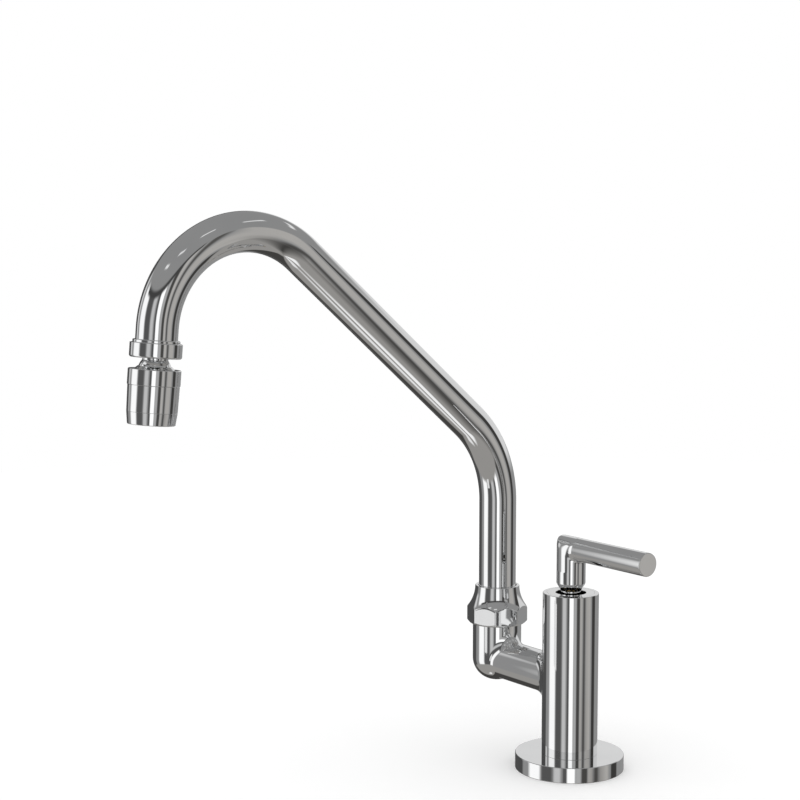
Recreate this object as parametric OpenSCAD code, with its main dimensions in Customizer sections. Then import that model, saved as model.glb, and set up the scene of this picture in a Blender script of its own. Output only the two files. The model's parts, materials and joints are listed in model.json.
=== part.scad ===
// Gooseneck bar faucet: a deck-mounted, single-water tap. A quarter-turn lever
// works a ceramic disc cartridge in an upright body. An arm and an upturned leg
// carry a hooked swivel spout, and a ball joint at its mouth carries the aerator.
//
// Frame: the deck is the plane z = 0, the body's axis is Z, the lever points
// along +X, the arm along -X, and the spout reaches out along -Y.

/* [Base flange] */
// Diameter of the flange that stands on the deck
flange_d = 56.5; // [50:0.5:70]
// Thickness of the flange
flange_t = 8; // [6:0.5:12]
// Bevel on the flange's upper edge
flange_edge = 0.4; // [0.2:0.1:1.5]
// Width of the ledge on the flange that the body's shoulder stands on
flange_ledge = 2; // [1.5:0.25:3]
// Middle diameter of the seal ring under the flange
seal_mid_d = 44; // [36:1:46]
// Width of the seal ring
seal_w = 3; // [2:0.5:4]
// Height of the seal ring
seal_h = 2.2; // [1.5:0.1:3]

/* [Body] */
// Height of the body's flat top above the deck
body_top = 92.8; // [88:0.2:120]
// Diameter of the bore that the cartridge goes in by
bonnet_bore_d = 23; // [22.6:0.2:27]
// Wall of the body around that bore
body_wall = 3; // [2.5:0.25:5]
// Bevel on the body's upper edge
body_edge = 0.3; // [0.2:0.1:1]
// Gap between the deck and the body's foot inside the flange
foot_gap = 0.6; // [0.2:0.1:2]
// Diameter of the waterway through shank and body
waterway_d = 11; // [8:0.5:12]
// Thickness of the cover let into the body's top
cover_t = 4; // [2:0.5:5]
// Width of the ledge that carries the cover
cover_ledge = 0.8; // [0.5:0.1:1.5]
// Diameter of the hole in the cover
cover_hole_d = 15.8; // [14:0.2:18]

/* [Arm and leg] */
// Height of the arm's axis above the deck
arm_z = 46.6; // [44:0.1:50]
// Diameter of the arm
arm_d = 21; // [18:0.1:24]
// Diameter of the waterway in the arm
arm_bore_d = 13; // [9:0.5:14]
// Distance from the body's axis to the spout's axis
riser_offset = 60; // [50:1:80]
// Height of the leg's shoulder above the arm's axis
leg_rise = 19.5; // [18:0.1:30]
// How far the leg's foot drops below the arm
leg_drop = 1.5; // [0.4:0.1:3]
// Radius of the rounded corner at the leg's foot
elbow_round = 12; // [4:0.5:12]
// Width of the shoulder around the leg's thread
leg_shoulder = 0.7; // [0.5:0.1:2]

/* [Spout] */
// Outer diameter of the spout tube
tube_od = 20; // [18:0.5:22]
// Wall of the spout tube
tube_wall = 1; // [0.8:0.1:1.2]
// Straight stretch of the riser above the coupling nut
riser_straight = 46.3; // [30:0.1:90]
// Radius of the first bend, on the tube's axis
first_bend_r = 58.6; // [30:0.1:80]
// Lean of the straight stretch from upright, in degrees
lean = 49.6; // [30:0.1:60]
// Length of the leaning straight stretch
lean_length = 137.8; // [80:0.1:220]
// Radius of the hook, on the tube's axis
hook_r = 49; // [35:0.1:70]
// Direction of the outlet from straight up, in degrees
outlet_angle = 175; // [150:1:180]
// Straight stretch between the hook and the outlet collar's lip
outlet_straight = 5.5; // [2:0.5:30]

/* [Swivel joint] */
// Length of the nipple below the leg's shoulder
nipple_depth = 15.8; // [14:0.2:17]
// Length of the nipple's spigot inside the tube
spigot_length = 9; // [5:0.5:14]
// Wall of the nipple inside its seal grooves
nipple_wall = 1.1; // [0.8:0.1:1.6]
// Section diameter of the swivel seals
swivel_seal_d = 1.94; // [1.6:0.02:2]
// Wall of the swivel bush
bush_wall = 0.8; // [0.6:0.1:1.2]
// Thickness of the bush's flange
bush_flange_t = 0.8; // [0.6:0.1:1.2]
// Wall of the leg under its thread
leg_thread_wall = 1.7; // [1.4:0.1:2.5]
// Length of the leg's thread
leg_thread_length = 8.7; // [8:0.1:9]
// Thickness of the retaining ring
retainer_t = 2.2; // [1.6:0.1:2.4]
// Depth of the retaining ring's groove in the nipple
retainer_groove = 1.15; // [0.8:0.05:1.4]
// How far the retaining ring stands out of the nipple
retainer_lip = 1.25; // [1:0.05:1.4]
// Width of the slit in the retaining ring
retainer_slit = 4; // [2:0.5:6]
// Depth of the bush below the leg's shoulder
bush_depth = 1.3; // [0.8:0.1:2]
// Width of the ledge in the leg under the nipple
sump_ledge = 1.5; // [1:0.1:2.5]
// Room under the nipple's end
nipple_room = 0.5; // [0.3:0.1:1]
// Height of the lower swivel seal above the nipple's end
swivel_seal_rise = 4; // [3:0.5:5]
// Distance between the swivel seals
swivel_seal_pitch = 5.5; // [4:0.5:6]
// Height of the tube's end above the retaining ring
tube_end_gap = 1.5; // [0.5:0.1:3]

/* [Coupling nut] */
// Height of the coupling nut
nut_h = 20.7; // [20:0.1:26]
// Height of the nut's corners
nut_corner_h = 8.5; // [6.5:0.1:9.5]
// Wall between the nut's thread and its flats
nut_wall = 2.65; // [2.2:0.05:3.5]
// Diameter of the nut's upper rim
nut_rim_d = 24; // [23.4:0.1:26]
// Width of the bevel under the nut's corners
nut_bevel_w = 1.8; // [0.5:0.1:2]
// Height of the bevel under the nut's corners
nut_bevel_h = 1.2; // [0.5:0.1:2]
// Turn of the nut's corners about its axis, in degrees
nut_turn = 2.6; // [0:0.1:45]
// Room for the bush's flange above the nut's thread
nut_room = 0.6; // [0.3:0.1:1.5]
// Gap between the nut's rim and the tube
nut_rim_gap = 0.3; // [0.2:0.05:0.6]

/* [Handle] */
// Height of the lever's axis above the body's top
lever_rise = 23.2; // [20:0.1:32]
// Diameter of the lever bar
lever_d = 12; // [8:0.5:13]
// Distance from the body's axis to the lever's end
lever_reach = 56.3; // [40:0.1:90]
// Bevel on the lever's end
lever_edge = 0.5; // [0.2:0.1:1.5]
// Diameter of the stud that screws the lever into the stem
lever_stud_d = 6; // [4:0.5:7]
// Length of that stud inside the stem
lever_stud_length = 5; // [4:0.5:6]
// Diameter of the handle's stem
stem_d = 15; // [14:0.5:18]
// Diameter of the stem's neck in the body
stem_neck_d = 10.6; // [10.2:0.1:13]
// Height of the taper between neck and stem
stem_taper_h = 3.7; // [2:0.1:6]
// Gap between the body's top and the taper
stem_lift = 1.2; // [0.3:0.1:2]
// Diameter of the grub screw
grub_d = 4; // [3:0.5:5]
// Height of the grub screw above the body's top
grub_rise = 7.2; // [6.5:0.1:9]
// Width of the grub screw's hexagon socket across its corners
grub_key_d = 2.3; // [1.6:0.1:2.6]
// How deep the grub screw's end lies inside the stem
grub_inset = 0.5; // [0.2:0.1:1]
// Gap between the spindle's clip and the stem's foot
stem_foot_gap = 1.6; // [1:0.1:2]
// Height of the spindle's shoulder above its clip
spindle_shoulder = 0.5; // [0.3:0.1:0.9]
// Depth of the spindle's top below the lever
spindle_drop = 6; // [4:0.5:7]

/* [Cartridge] */
// Diameter of the cartridge's barrel
barrel_d = 18.2; // [17.8:0.1:18.8]
// Diameter of the cartridge's thread, a half-inch pipe thread
cartridge_thread_d = 20.9; // [20.5:0.1:21.2]
// Length of that thread in the body
cartridge_thread_length = 8; // [6:0.5:10]
// Depth of the valve seat below the arm's axis
seat_drop = 10.5; // [10:0.1:12]
// Depth of the bore that centres the barrel on the valve seat
pilot_depth = 4.5; // [3:0.1:5]
// Height of the water chamber above the arm's axis
chamber_rise = 7.5; // [7:0.1:9]
// Room for water around the barrel
chamber_gap = 2.2; // [1.2:0.1:2.3]
// Thickness of the bonnet gasket
bonnet_gasket_t = 1; // [0.5:0.1:2]
// Thickness of the bonnet's flange
bonnet_flange_t = 1.5; // [1:0.1:2.5]
// Height of the bonnet's hexagon
bonnet_hex_h = 6.5; // [5:0.5:8]
// Diameter of the bonnet's neck
bonnet_neck_d = 13; // [12:0.5:15]
// Height of the bonnet's neck
bonnet_neck_h = 6; // [4:0.5:7]
// Diameter of the ceramic discs
disc_d = 15.2; // [14.6:0.1:15.6]
// Thickness of each ceramic disc
disc_t = 3; // [2.5:0.1:3.1]
// Height of the seal under the fixed disc
seat_seal_h = 3; // [2.5:0.1:3.3]
// Inner radius of the discs' ports
port_in_r = 2.4; // [2:0.1:3]
// Outer radius of the discs' ports
port_out_r = 5.8; // [5:0.1:6]
// Sweep of each port, in degrees
port_sweep = 80; // [50:1:85]
// Width of the keys that stop the fixed disc turning
key_w = 2.2; // [1.5:0.1:3]
// Depth of those keys
key_depth = 1.1; // [0.6:0.1:1.3]
// Width of the windows in the barrel
window_w = 8; // [4:0.5:9]
// Diameter of the spindle
spindle_d = 9; // [8.6:0.1:9.6]
// Diameter of the spindle's end in the handle
spindle_end_d = 8; // [7:0.1:8.2]
// Depth of the flat on that end
spindle_flat = 0.8; // [0.4:0.1:1.4]
// Width of the spindle's driver on the moving disc
driver_w = 7; // [5:0.5:8]
// Thickness of the driver
driver_t = 2.2; // [1.5:0.1:2.4]
// Depth of the driver's lugs in the moving disc
lug_depth = 1.2; // [0.8:0.1:1.8]
// Section diameter of the spindle's seals
spindle_seal_d = 1; // [0.8:0.05:1.2]
// Thickness of the spindle's clip
clip_t = 1; // [0.6:0.1:1.4]
// Depth of the clip's groove in the spindle
clip_groove = 0.7; // [0.4:0.05:0.9]
// How far the clip stands out of the spindle
clip_lip = 1.7; // [1:0.1:1.8]
// Width of the clip's mouth
clip_mouth = 6; // [4:0.5:6.5]
// Distance between the spindle's seals
spindle_seal_pitch = 8; // [6:0.5:9]
// Thickness of the spindle's thrust collar
thrust_t = 1.5; // [1:0.1:2]
// How far that collar stands out of the spindle
thrust_w = 1.9; // [1.2:0.1:2.2]
// Depth of the barrel's web below the water chamber's top
web_drop = 2.4; // [1.8:0.1:3]
// Depth of the windows' tops below the water chamber's top
window_drop = 3.2; // [3:0.1:4.5]
// Height of the windows above the moving disc
window_rise = 0.3; // [0.1:0.1:1]
// Length of the driver's lugs along the driver
lug_length = 2; // [1.5:0.1:2.6]
// Width of the driver's lugs
lug_w = 1.8; // [1.2:0.1:2.4]
// How far the spindle's flat reaches below the grub screw
flat_drop = 5; // [3:0.5:6]

/* [Outlet and ball joint] */
// Diameter of the outlet collar
collar_d = 24.8; // [24:0.1:28]
// Height of the outlet collar
collar_h = 7; // [6.6:0.1:10]
// Width of the collar's raised lip around the tube
collar_lip_w = 1.2; // [0.8:0.1:1.8]
// Height of that lip
collar_lip_h = 1.5; // [0.8:0.1:3]
// Bevel on that lip
collar_lip_bevel = 0.5; // [0.2:0.1:0.7]
// Rounding of the collar's lower edge
collar_round = 1; // [0.5:0.1:2]
// Thickness of the collar's floor
collar_floor = 2; // [1.6:0.1:2.4]
// Room between the tube's end and the floor
collar_room = 2; // [1.8:0.1:2.4]
// Diameter of the ball
ball_d = 16; // [14.5:0.1:16.4]
// Distance from the collar to the ball's middle
ball_drop = 6.2; // [6:0.1:7.2]
// Diameter of the stud's neck between collar and ball
neck_d = 12.2; // [10.6:0.1:12.4]
// Diameter of the stud in the collar's floor
stud_d = 10; // [9:0.1:10.2]
// Diameter of the waterway through the stud
stud_bore_d = 6; // [4:0.5:6.4]
// Section diameter of the stud's seal
stud_seal_d = 0.84; // [0.7:0.02:0.9]
// Outer diameter of the washer that holds the stud
stud_washer_d = 15.6; // [13:0.1:16]
// Thickness of that washer
stud_washer_t = 1.7; // [1.2:0.1:1.7]
// Width of the step that carries the washer
stud_step = 1; // [0.6:0.1:1.4]
// Room around the washer in the collar
washer_room = 0.4; // [0.2:0.1:0.6]

/* [Aerator] */
// Diameter of the aerator's cap
cap_d = 25; // [24.6:0.1:27]
// Height of the cap below its flat top
cap_h = 7.6; // [7:0.1:9]
// Distance of the cap's flat top above the ball's middle
cap_rise = 1; // [0.8:0.1:1.4]
// Height of the cap's conical lip
cap_lip_h = 1.2; // [0.8:0.1:1.3]
// Width of the rim on that lip
cap_lip_w = 0.35; // [0.3:0.05:0.6]
// Spread of the lip's foot beyond its rim
cap_lip_spread = 1.4; // [0.5:0.1:2]
// Bevel on the cap's upper edge
cap_edge = 0.5; // [0.2:0.1:1]
// Wall of the cap around its thread
cap_wall = 1.3; // [1:0.1:1.6]
// Wall of the shell's threaded neck
shell_neck_wall = 2; // [1.6:0.1:2.4]
// Step between the cap and the shell
shell_step = 0.25; // [0.15:0.05:0.6]
// Length of the shell
shell_h = 12.6; // [12.5:0.1:20]
// How much the shell tapers, on its radius
shell_taper = 0.25; // [0:0.05:0.6]
// Thickness of the web in the shell
shell_web = 2; // [1.5:0.1:3]
// Wall of the shell around the nozzle's thread
shell_wall = 1.1; // [0.9:0.05:1.4]
// Height of the nozzle's visible band
nozzle_h = 6; // [4:0.1:8]
// Taper of that band, on its radius
nozzle_taper = 0.7; // [0:0.05:0.8]
// Wall of the nozzle's threaded neck
nozzle_neck_wall = 1.15; // [0.9:0.05:1.4]
// Length of the nozzle's threaded neck
nozzle_neck_h = 8.2; // [6:0.1:8.3]
// Width of the nozzle's lower lip
nozzle_lip_w = 0.9; // [0.6:0.1:1.4]
// Thickness of that lip
nozzle_lip_t = 1.5; // [1:0.1:2.5]
// Thickness of the aerator's washer
washer_t = 1.5; // [1:0.1:2]
// Thickness of the insert's flange
insert_flange_t = 0.5; // [0.4:0.1:1]
// Wall of the insert
insert_wall = 1; // [0.8:0.1:1.4]
// Thickness of the insert's ribs
rib_t = 0.8; // [0.6:0.1:1.2]
// Thickness of the screen
screen_t = 0.6; // [0.4:0.1:1]
// Diameter of the screen's holes
screen_hole_d = 1.2; // [0.8:0.1:1.4]
// Distance between the screen's holes
screen_pitch = 2; // [1.8:0.1:3]
// Width of the ledge under the ball's seat
web_ledge = 2.6; // [1.5:0.1:3]
// Room for water around the stud's bore as the aerator tilts
seat_bore_room = 1.4; // [0.8:0.1:2]
// How far the washer reaches in past the insert's wall
washer_reach = 1; // [0.5:0.1:2]
// Depth of the ribs below the insert's flange
rib_drop = 1; // [0.5:0.1:2]
// Height of the ribs above the screen
rib_lift = 2; // [1:0.1:3]

/* [Shank and deck fixing] */
// Diameter of the shank's thread, a half-inch parallel pipe thread
shank_d = 20.955; // [20.9:0.005:21]
// Length of the shank below the deck
shank_length = 58; // [48:1:80]
// Length of the supply thread at the shank's lower end
supply_thread_length = 14; // [10:0.5:16]
// Width of the relief groove above the supply thread
relief_w = 2; // [1:0.5:3]
// Depth of that groove
relief_depth = 1.2; // [0.8:0.1:2]
// Diameter of the shank's neck in the body
shank_neck_d = 18; // [16:0.5:19]
// Length of that neck
shank_neck_length = 14; // [10:0.5:15]
// Thickness of the seal between shank and body
shank_seal_t = 1; // [0.5:0.1:2]
// Thickness of the deck that is clamped
deck_t = 20; // [3:1:25]
// Diameter of the gasket and washer under the deck
deck_washer_d = 34; // [30:1:44]
// Thickness of the rubber gasket
deck_gasket_t = 3; // [2:0.5:5]
// Thickness of the steel washer
clamp_washer_t = 1.5; // [1:0.1:3]
// Width of the lock nut across its flats
lock_nut_af = 28; // [26:1:32]
// Height of the lock nut
lock_nut_h = 8; // [6:0.5:12]

/* [Clearances] */
// Gap between pieces that are screwed or pushed together
fit_gap = 0.05; // [0.03:0.01:0.08]
// Gap between pieces that turn on each other
run_gap = 0.05; // [0.03:0.01:0.08]
// Gap around pieces that pass freely
free_gap = 0.2; // [0.15:0.05:0.3]
// Gap around pieces that slip into place by hand
slip_gap = 0.1; // [0.05:0.01:0.15]
// Room beside a round seal in its groove
seal_room = 0.3; // [0.1:0.05:0.4]

/* [Hidden] */
$fn = 96;
// How far a cutting shape runs past what it cuts
cut = 1;
// How far the tube's straight stretches run into its bends
lap = 0.5;
// How much thicker the wall is in the bends, on each side
bend_swell = 0.02;
seal_fn = 32;

chrome = [0.72, 0.73, 0.75];
brass = [0.78, 0.62, 0.30];
steel = [0.60, 0.61, 0.62];
rubber = [0.09, 0.09, 0.10];
white_ceramic = [0.93, 0.93, 0.90];
grey_ceramic = [0.62, 0.63, 0.66];
nylon = [0.88, 0.87, 0.82];

// Body, from the bores outward
bonnet_bore_r = bonnet_bore_d / 2;
body_r = bonnet_bore_r + body_wall;
spigot_r = body_r - flange_ledge;
waterway_r = waterway_d / 2;
cover_r = bonnet_bore_r + cover_ledge;
cover_seat_z = body_top - cover_t;
cover_hole_r = cover_hole_d / 2;
socket_top_z = foot_gap + shank_neck_length + shank_seal_t;

// Cartridge, from the valve seat upward
seat_z = arm_z - seat_drop;
barrel_r = barrel_d / 2;
chamber_r = barrel_r + chamber_gap;
chamber_top_z = arm_z + chamber_rise;
cartridge_thread_r = cartridge_thread_d / 2;
bonnet_seat_z = chamber_top_z + cartridge_thread_length;
bonnet_flange_z = bonnet_seat_z + bonnet_gasket_t;
bonnet_hex_z = bonnet_flange_z + bonnet_flange_t;
bonnet_neck_z = bonnet_hex_z + bonnet_hex_h;
bonnet_top_z = bonnet_neck_z + bonnet_neck_h;
bonnet_flange_r = bonnet_bore_r - free_gap;
bonnet_hex_r = bonnet_flange_r - free_gap;
disc_r = disc_d / 2;
disc_bore_r = disc_r + slip_gap;
fixed_disc_z = seat_z + seat_seal_h;
moving_disc_z = fixed_disc_z + disc_t;
driver_z = moving_disc_z + disc_t;
window_low_z = driver_z + window_rise;
window_top_z = chamber_top_z - window_drop;
web_z = chamber_top_z - web_drop;
spindle_r = spindle_d / 2;
spindle_hole_r = spindle_r + run_gap;
spindle_end_r = spindle_end_d / 2;
thrust_r = spindle_r + thrust_w;
thrust_z = web_z - run_gap - thrust_t;
spindle_seal_z = [bonnet_seat_z - spindle_seal_pitch / 2, bonnet_seat_z + spindle_seal_pitch / 2];
spindle_groove_h = spindle_seal_d + seal_room;
spindle_groove_r = spindle_hole_r - run_gap / 2 - spindle_seal_d;
clip_z = bonnet_top_z + run_gap;
clip_groove_r = spindle_r - clip_groove;
clip_r = spindle_r + clip_lip;
moving_disc_r = disc_r - key_depth / 2;

// Handle
lever_z = body_top + lever_rise;
lever_r = lever_d / 2;
stem_r = stem_d / 2;
stem_neck_r = stem_neck_d / 2;
stem_taper_z = body_top + stem_lift;
stem_crown_z = lever_z + lever_r - stem_r;
stem_low_z = clip_z + clip_t + stem_foot_gap;
spindle_end_z = clip_z + clip_t + spindle_shoulder;
spindle_top_z = lever_z - lever_r - spindle_drop;
stem_bore_r = spindle_end_r + fit_gap;
grub_z = body_top + grub_rise;
lever_stud_r = lever_stud_d / 2;
grub_r = grub_d / 2;

// Swivel joint, from the tube outward and from the leg's shoulder upward
tube_r = tube_od / 2;
tube_bore_r = tube_r - tube_wall;
nipple_r = tube_r - run_gap;
leg_bore_r = nipple_r + free_gap;
bush_bore_r = nipple_r + run_gap;
bush_r = bush_bore_r + bush_wall;
leg_thread_r = bush_r + leg_thread_wall;
leg_r = leg_thread_r + leg_shoulder;
leg_top_z = arm_z + leg_rise;
leg_thread_top_z = leg_top_z + leg_thread_length;
bush_low_z = leg_top_z - bush_depth;
bush_flange_r = leg_thread_r - free_gap;
retainer_z = leg_thread_top_z + bush_flange_t;
retainer_top_z = retainer_z + retainer_t;
retainer_r = nipple_r + retainer_lip;
nipple_low_z = leg_top_z - nipple_depth;
tube_low_z = retainer_top_z + tube_end_gap;
spigot_r_in_tube = tube_bore_r - fit_gap;
swivel_groove_r = leg_bore_r - run_gap - swivel_seal_d;
nipple_bore_r = swivel_groove_r - nipple_wall;
swivel_seal_low_z = nipple_low_z + swivel_seal_rise;
swivel_seal_z = [swivel_seal_low_z, swivel_seal_low_z + swivel_seal_pitch];
swivel_groove_h = swivel_seal_d + seal_room;
arm_r = arm_d / 2;
arm_bore_r = arm_bore_d / 2;
leg_foot_z = arm_z - arm_r - leg_drop;
sump_r = leg_bore_r - sump_ledge;

// Coupling nut
nut_thread_r = leg_thread_r + fit_gap;
nut_flat_r = nut_thread_r + nut_wall;
nut_corner_r = nut_flat_r / cos(180 / 8);
nut_top_z = leg_top_z + nut_h;
nut_corner_z = leg_top_z + nut_corner_h;
nut_rim_r = nut_rim_d / 2;
nut_room_z = retainer_z + nut_room;
nut_step_z = retainer_top_z + slip_gap;
nut_hole_r = tube_r + nut_rim_gap;
flare_run = nut_corner_r - nut_rim_r;
flare_rise = nut_top_z - nut_corner_z;
flare_r = (flare_run * flare_run + flare_rise * flare_rise) / (2 * flare_run);

// Spout path in its own plane: x points outward and y upward
first_bend_z = nut_top_z + riser_straight;
lean_start = [first_bend_r * (1 - cos(lean)), first_bend_z + first_bend_r * sin(lean)];
lean_end = lean_start + lean_length * [sin(lean), cos(lean)];
hook_centre = lean_end + hook_r * [cos(lean), -sin(lean)];
hook_end = hook_centre + hook_r * [-cos(outlet_angle), sin(outlet_angle)];

// Outlet, measured along the outlet's own axis from the end of the hook
lip_s = outlet_straight;
collar_s = lip_s + collar_lip_h;
collar_end_s = collar_s + collar_h;
floor_s = collar_end_s - collar_floor;
tube_end_s = floor_s - collar_room;
collar_r = collar_d / 2;
collar_lip_r = tube_r + collar_lip_w;
collar_room_r = stud_washer_d / 2 + washer_room;
ball_r = ball_d / 2;
ball_s = collar_end_s + ball_drop;
neck_r = neck_d / 2;
neck_s = collar_end_s + run_gap;
stud_r = stud_d / 2;
stud_hole_r = stud_r + slip_gap;
stud_end_r = stud_r - stud_step;
stud_washer_s = floor_s - run_gap;
stud_top_s = stud_washer_s - stud_washer_t;
stud_seal_s = floor_s + collar_floor / 2;
stud_groove_h = stud_seal_d + seal_room;
stud_groove_r = stud_hole_r - run_gap / 2 - stud_seal_d;

// Aerator
socket_r = ball_r + run_gap;
cap_r = cap_d / 2;
cap_s = ball_s - cap_rise;
cap_lip_s = cap_s - cap_lip_h;
cap_end_s = cap_s + cap_h;
cap_mouth_r = sqrt(pow(socket_r, 2) - pow(ball_s - cap_lip_s, 2));
cap_lip_r = cap_mouth_r + cap_lip_w;
cap_step_s = ball_s + free_gap;
cap_bore_r = cap_r - cap_wall;
shell_neck_r = cap_bore_r - fit_gap;
shell_neck_bore_r = shell_neck_r - shell_neck_wall;
shell_neck_s = cap_step_s + free_gap;
ball_seat_r = shell_neck_bore_r - fit_gap;
shell_r = cap_r - shell_step;
shell_end_s = cap_end_s + shell_h;
shell_end_r = shell_r - shell_taper;
shell_floor_s = cap_end_s + free_gap;
shell_web_end_s = shell_floor_s + shell_web;
shell_bore_r = shell_end_r - shell_wall;
nozzle_end_s = shell_end_s + nozzle_h;
nozzle_neck_r = shell_bore_r - fit_gap;
nozzle_bore_r = nozzle_neck_r - nozzle_neck_wall;
nozzle_neck_s = shell_end_s - nozzle_neck_h;
nozzle_end_r = shell_end_r - nozzle_taper;
nozzle_lip_s = nozzle_end_s - nozzle_lip_t;
nozzle_mouth_r = nozzle_bore_r - nozzle_lip_w;
insert_flange_s = nozzle_neck_s - insert_flange_t;
washer_s = insert_flange_s - washer_t;
insert_flange_r = shell_bore_r - slip_gap;
insert_r = nozzle_bore_r - slip_gap;
insert_bore_r = insert_r - insert_wall;
screen_s = nozzle_lip_s - screen_t;
screen_r = insert_r;
stud_bore_r = stud_bore_d / 2;
web_hole_r = ball_seat_r - web_ledge;

// Shank and deck fixing
shank_r = shank_d / 2;
shank_neck_r = shank_neck_d / 2;
deck_washer_bore_r = shank_r + free_gap;
deck_gasket_z = -deck_t - deck_gasket_t;
clamp_washer_z = deck_gasket_z - clamp_washer_t;
lock_nut_z = clamp_washer_z - lock_nut_h;
lock_nut_r = lock_nut_af / 2 / cos(30);
relief_z = supply_thread_length - shank_length;

// A round rod on the Z axis, from one height to another
module rod(r, low, high) {
    translate([0, 0, low])
        cylinder(r = r, h = high - low);
}

// A rod that tapers from r_low to r_high
module taper(r_low, r_high, low, high) {
    translate([0, 0, low])
        cylinder(r1 = r_low, r2 = r_high, h = high - low);
}

// A plain ring
module ring(r_out, r_in, low, high) {
    difference() {
        rod(r_out, low, high);
        rod(r_in, low - cut, high + cut);
    }
}

// A seal ring of round section that fills a groove from its floor outward
module o_ring(r_floor, section_d, z) {
    rotate_extrude()
        translate([r_floor + section_d / 2, z])
            circle(d = section_d, $fn = seal_fn);
}

// Cuts a groove around a shaft that stands on the Z axis
module shaft_groove(shaft_r, floor_r, middle, height) {
    ring(shaft_r + cut, floor_r, middle - height / 2, middle + height / 2);
}

// Moves a shape to the spout's axis
module at_riser() {
    translate([-riser_offset, 0, 0])
        children();
}

// Lays the spout's plane upright, x outward along -Y and y up
module in_spout_plane() {
    at_riser()
        rotate([90, 0, -90])
            children();
}

// Puts a shape on the outlet's axis, its Z along the flow from the end of the hook
module at_outlet() {
    in_spout_plane()
        translate(hook_end)
            rotate([-90, 0, -outlet_angle])
                children();
}

// Straight stretch of the tube in the spout's plane, run into its neighbours by laps
module straight_tube(start, angle, length, lap_low, lap_high) {
    translate(start)
        rotate([-90, 0, -angle])
            ring(tube_r, tube_bore_r, -lap_low, length + lap_high);
}

// Bend of the tube in the spout's plane, clockwise between two directions
module bent_tube(centre, bend_r, from_angle, to_angle) {
    translate(centre)
        rotate(180 - to_angle)
            rotate_extrude(angle = to_angle - from_angle)
                translate([bend_r, 0])
                    difference() {
                        circle(r = tube_r + bend_swell);
                        circle(r = tube_bore_r - bend_swell);
                    }
}

module base_flange() {
    color(chrome)
        difference() {
            union() {
                rod(flange_d / 2, 0, flange_t - flange_edge);
                taper(flange_d / 2, flange_d / 2 - flange_edge, flange_t - flange_edge, flange_t);
            }
            rod(spigot_r + fit_gap, -cut, flange_t + cut);
            ring((seal_mid_d + seal_w) / 2, (seal_mid_d - seal_w) / 2, -cut, seal_h);
        }
}

module base_seal() {
    color(rubber)
        ring((seal_mid_d + seal_w) / 2, (seal_mid_d - seal_w) / 2, 0, seal_h);
}

// The leg's outer form, with a rounded foot
module leg_form() {
    at_riser() {
        rotate_extrude() {
            translate([0, leg_foot_z])
                square([leg_r - elbow_round, elbow_round]);
            translate([0, leg_foot_z + elbow_round])
                square([leg_r, leg_top_z - leg_foot_z - elbow_round]);
            intersection() {
                translate([leg_r - elbow_round, leg_foot_z + elbow_round])
                    circle(r = elbow_round);
                translate([0, leg_foot_z])
                    square([leg_r, leg_r]);
            }
        }
        rod(leg_thread_r, leg_top_z - cut, leg_thread_top_z);
    }
}

// A round rod along X at the arm's height
module arm_rod(r, x_low, x_high) {
    translate([x_low, 0, arm_z])
        rotate([0, 90, 0])
            cylinder(r = r, h = x_high - x_low);
}

module valve_body() {
    color(chrome)
        difference() {
            union() {
                rod(spigot_r, foot_gap, flange_t + cut);
                rod(body_r, flange_t, body_top - body_edge);
                taper(body_r, body_r - body_edge, body_top - body_edge, body_top);
                arm_rod(arm_r, -riser_offset, 0);
                leg_form();
            }
            rod(shank_neck_r + fit_gap, foot_gap - cut, socket_top_z);
            rod(waterway_r, socket_top_z - cut, seat_z + cut);
            rod(barrel_r + fit_gap, seat_z, seat_z + pilot_depth);
            rod(chamber_r, seat_z + pilot_depth, chamber_top_z);
            rod(cartridge_thread_r + fit_gap, chamber_top_z - cut, bonnet_seat_z + cut);
            rod(bonnet_bore_r, bonnet_seat_z, body_top);
            rod(cover_r + fit_gap, cover_seat_z, body_top + cut);
            arm_rod(arm_bore_r, -riser_offset, -barrel_r);
            at_riser() {
                rod(sump_r, arm_z - arm_bore_r, nipple_low_z - nipple_room + cut);
                rod(leg_bore_r, nipple_low_z - nipple_room, bush_low_z + cut);
                rod(bush_r + fit_gap, bush_low_z, leg_thread_top_z + cut);
            }
        }
}

module top_cover() {
    color(chrome)
        difference() {
            rod(cover_r, cover_seat_z, body_top);
            rod(cover_hole_r, cover_seat_z - cut, body_top + cut);
        }
}

module inlet_shank() {
    color(brass)
        difference() {
            union() {
                rod(shank_r, -shank_length, foot_gap);
                rod(shank_neck_r, foot_gap - cut, foot_gap + shank_neck_length);
            }
            rod(waterway_r, -shank_length - cut, foot_gap + shank_neck_length + cut);
            shaft_groove(shank_r, shank_r - relief_depth, relief_z + relief_w / 2, relief_w);
        }
}

module shank_seal() {
    color(rubber)
        ring(shank_neck_r - free_gap, waterway_r, foot_gap + shank_neck_length, socket_top_z);
}

module deck_gasket() {
    color(rubber)
        ring(deck_washer_d / 2, deck_washer_bore_r, deck_gasket_z, -deck_t);
}

module clamp_washer() {
    color(steel)
        ring(deck_washer_d / 2, deck_washer_bore_r, clamp_washer_z, deck_gasket_z);
}

module lock_nut() {
    color(brass)
        difference() {
            translate([0, 0, lock_nut_z])
                cylinder(r = lock_nut_r, h = lock_nut_h, $fn = 6);
            rod(shank_r + fit_gap, lock_nut_z - cut, clamp_washer_z + cut);
        }
}

// Windows through the barrel's wall, one toward each quarter
module barrel_windows() {
    for (turn = [0, 90])
        rotate(turn)
            translate([-barrel_r - cut, -window_w / 2, window_low_z])
                cube([2 * (barrel_r + cut), window_w, window_top_z - window_low_z]);
}

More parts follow.
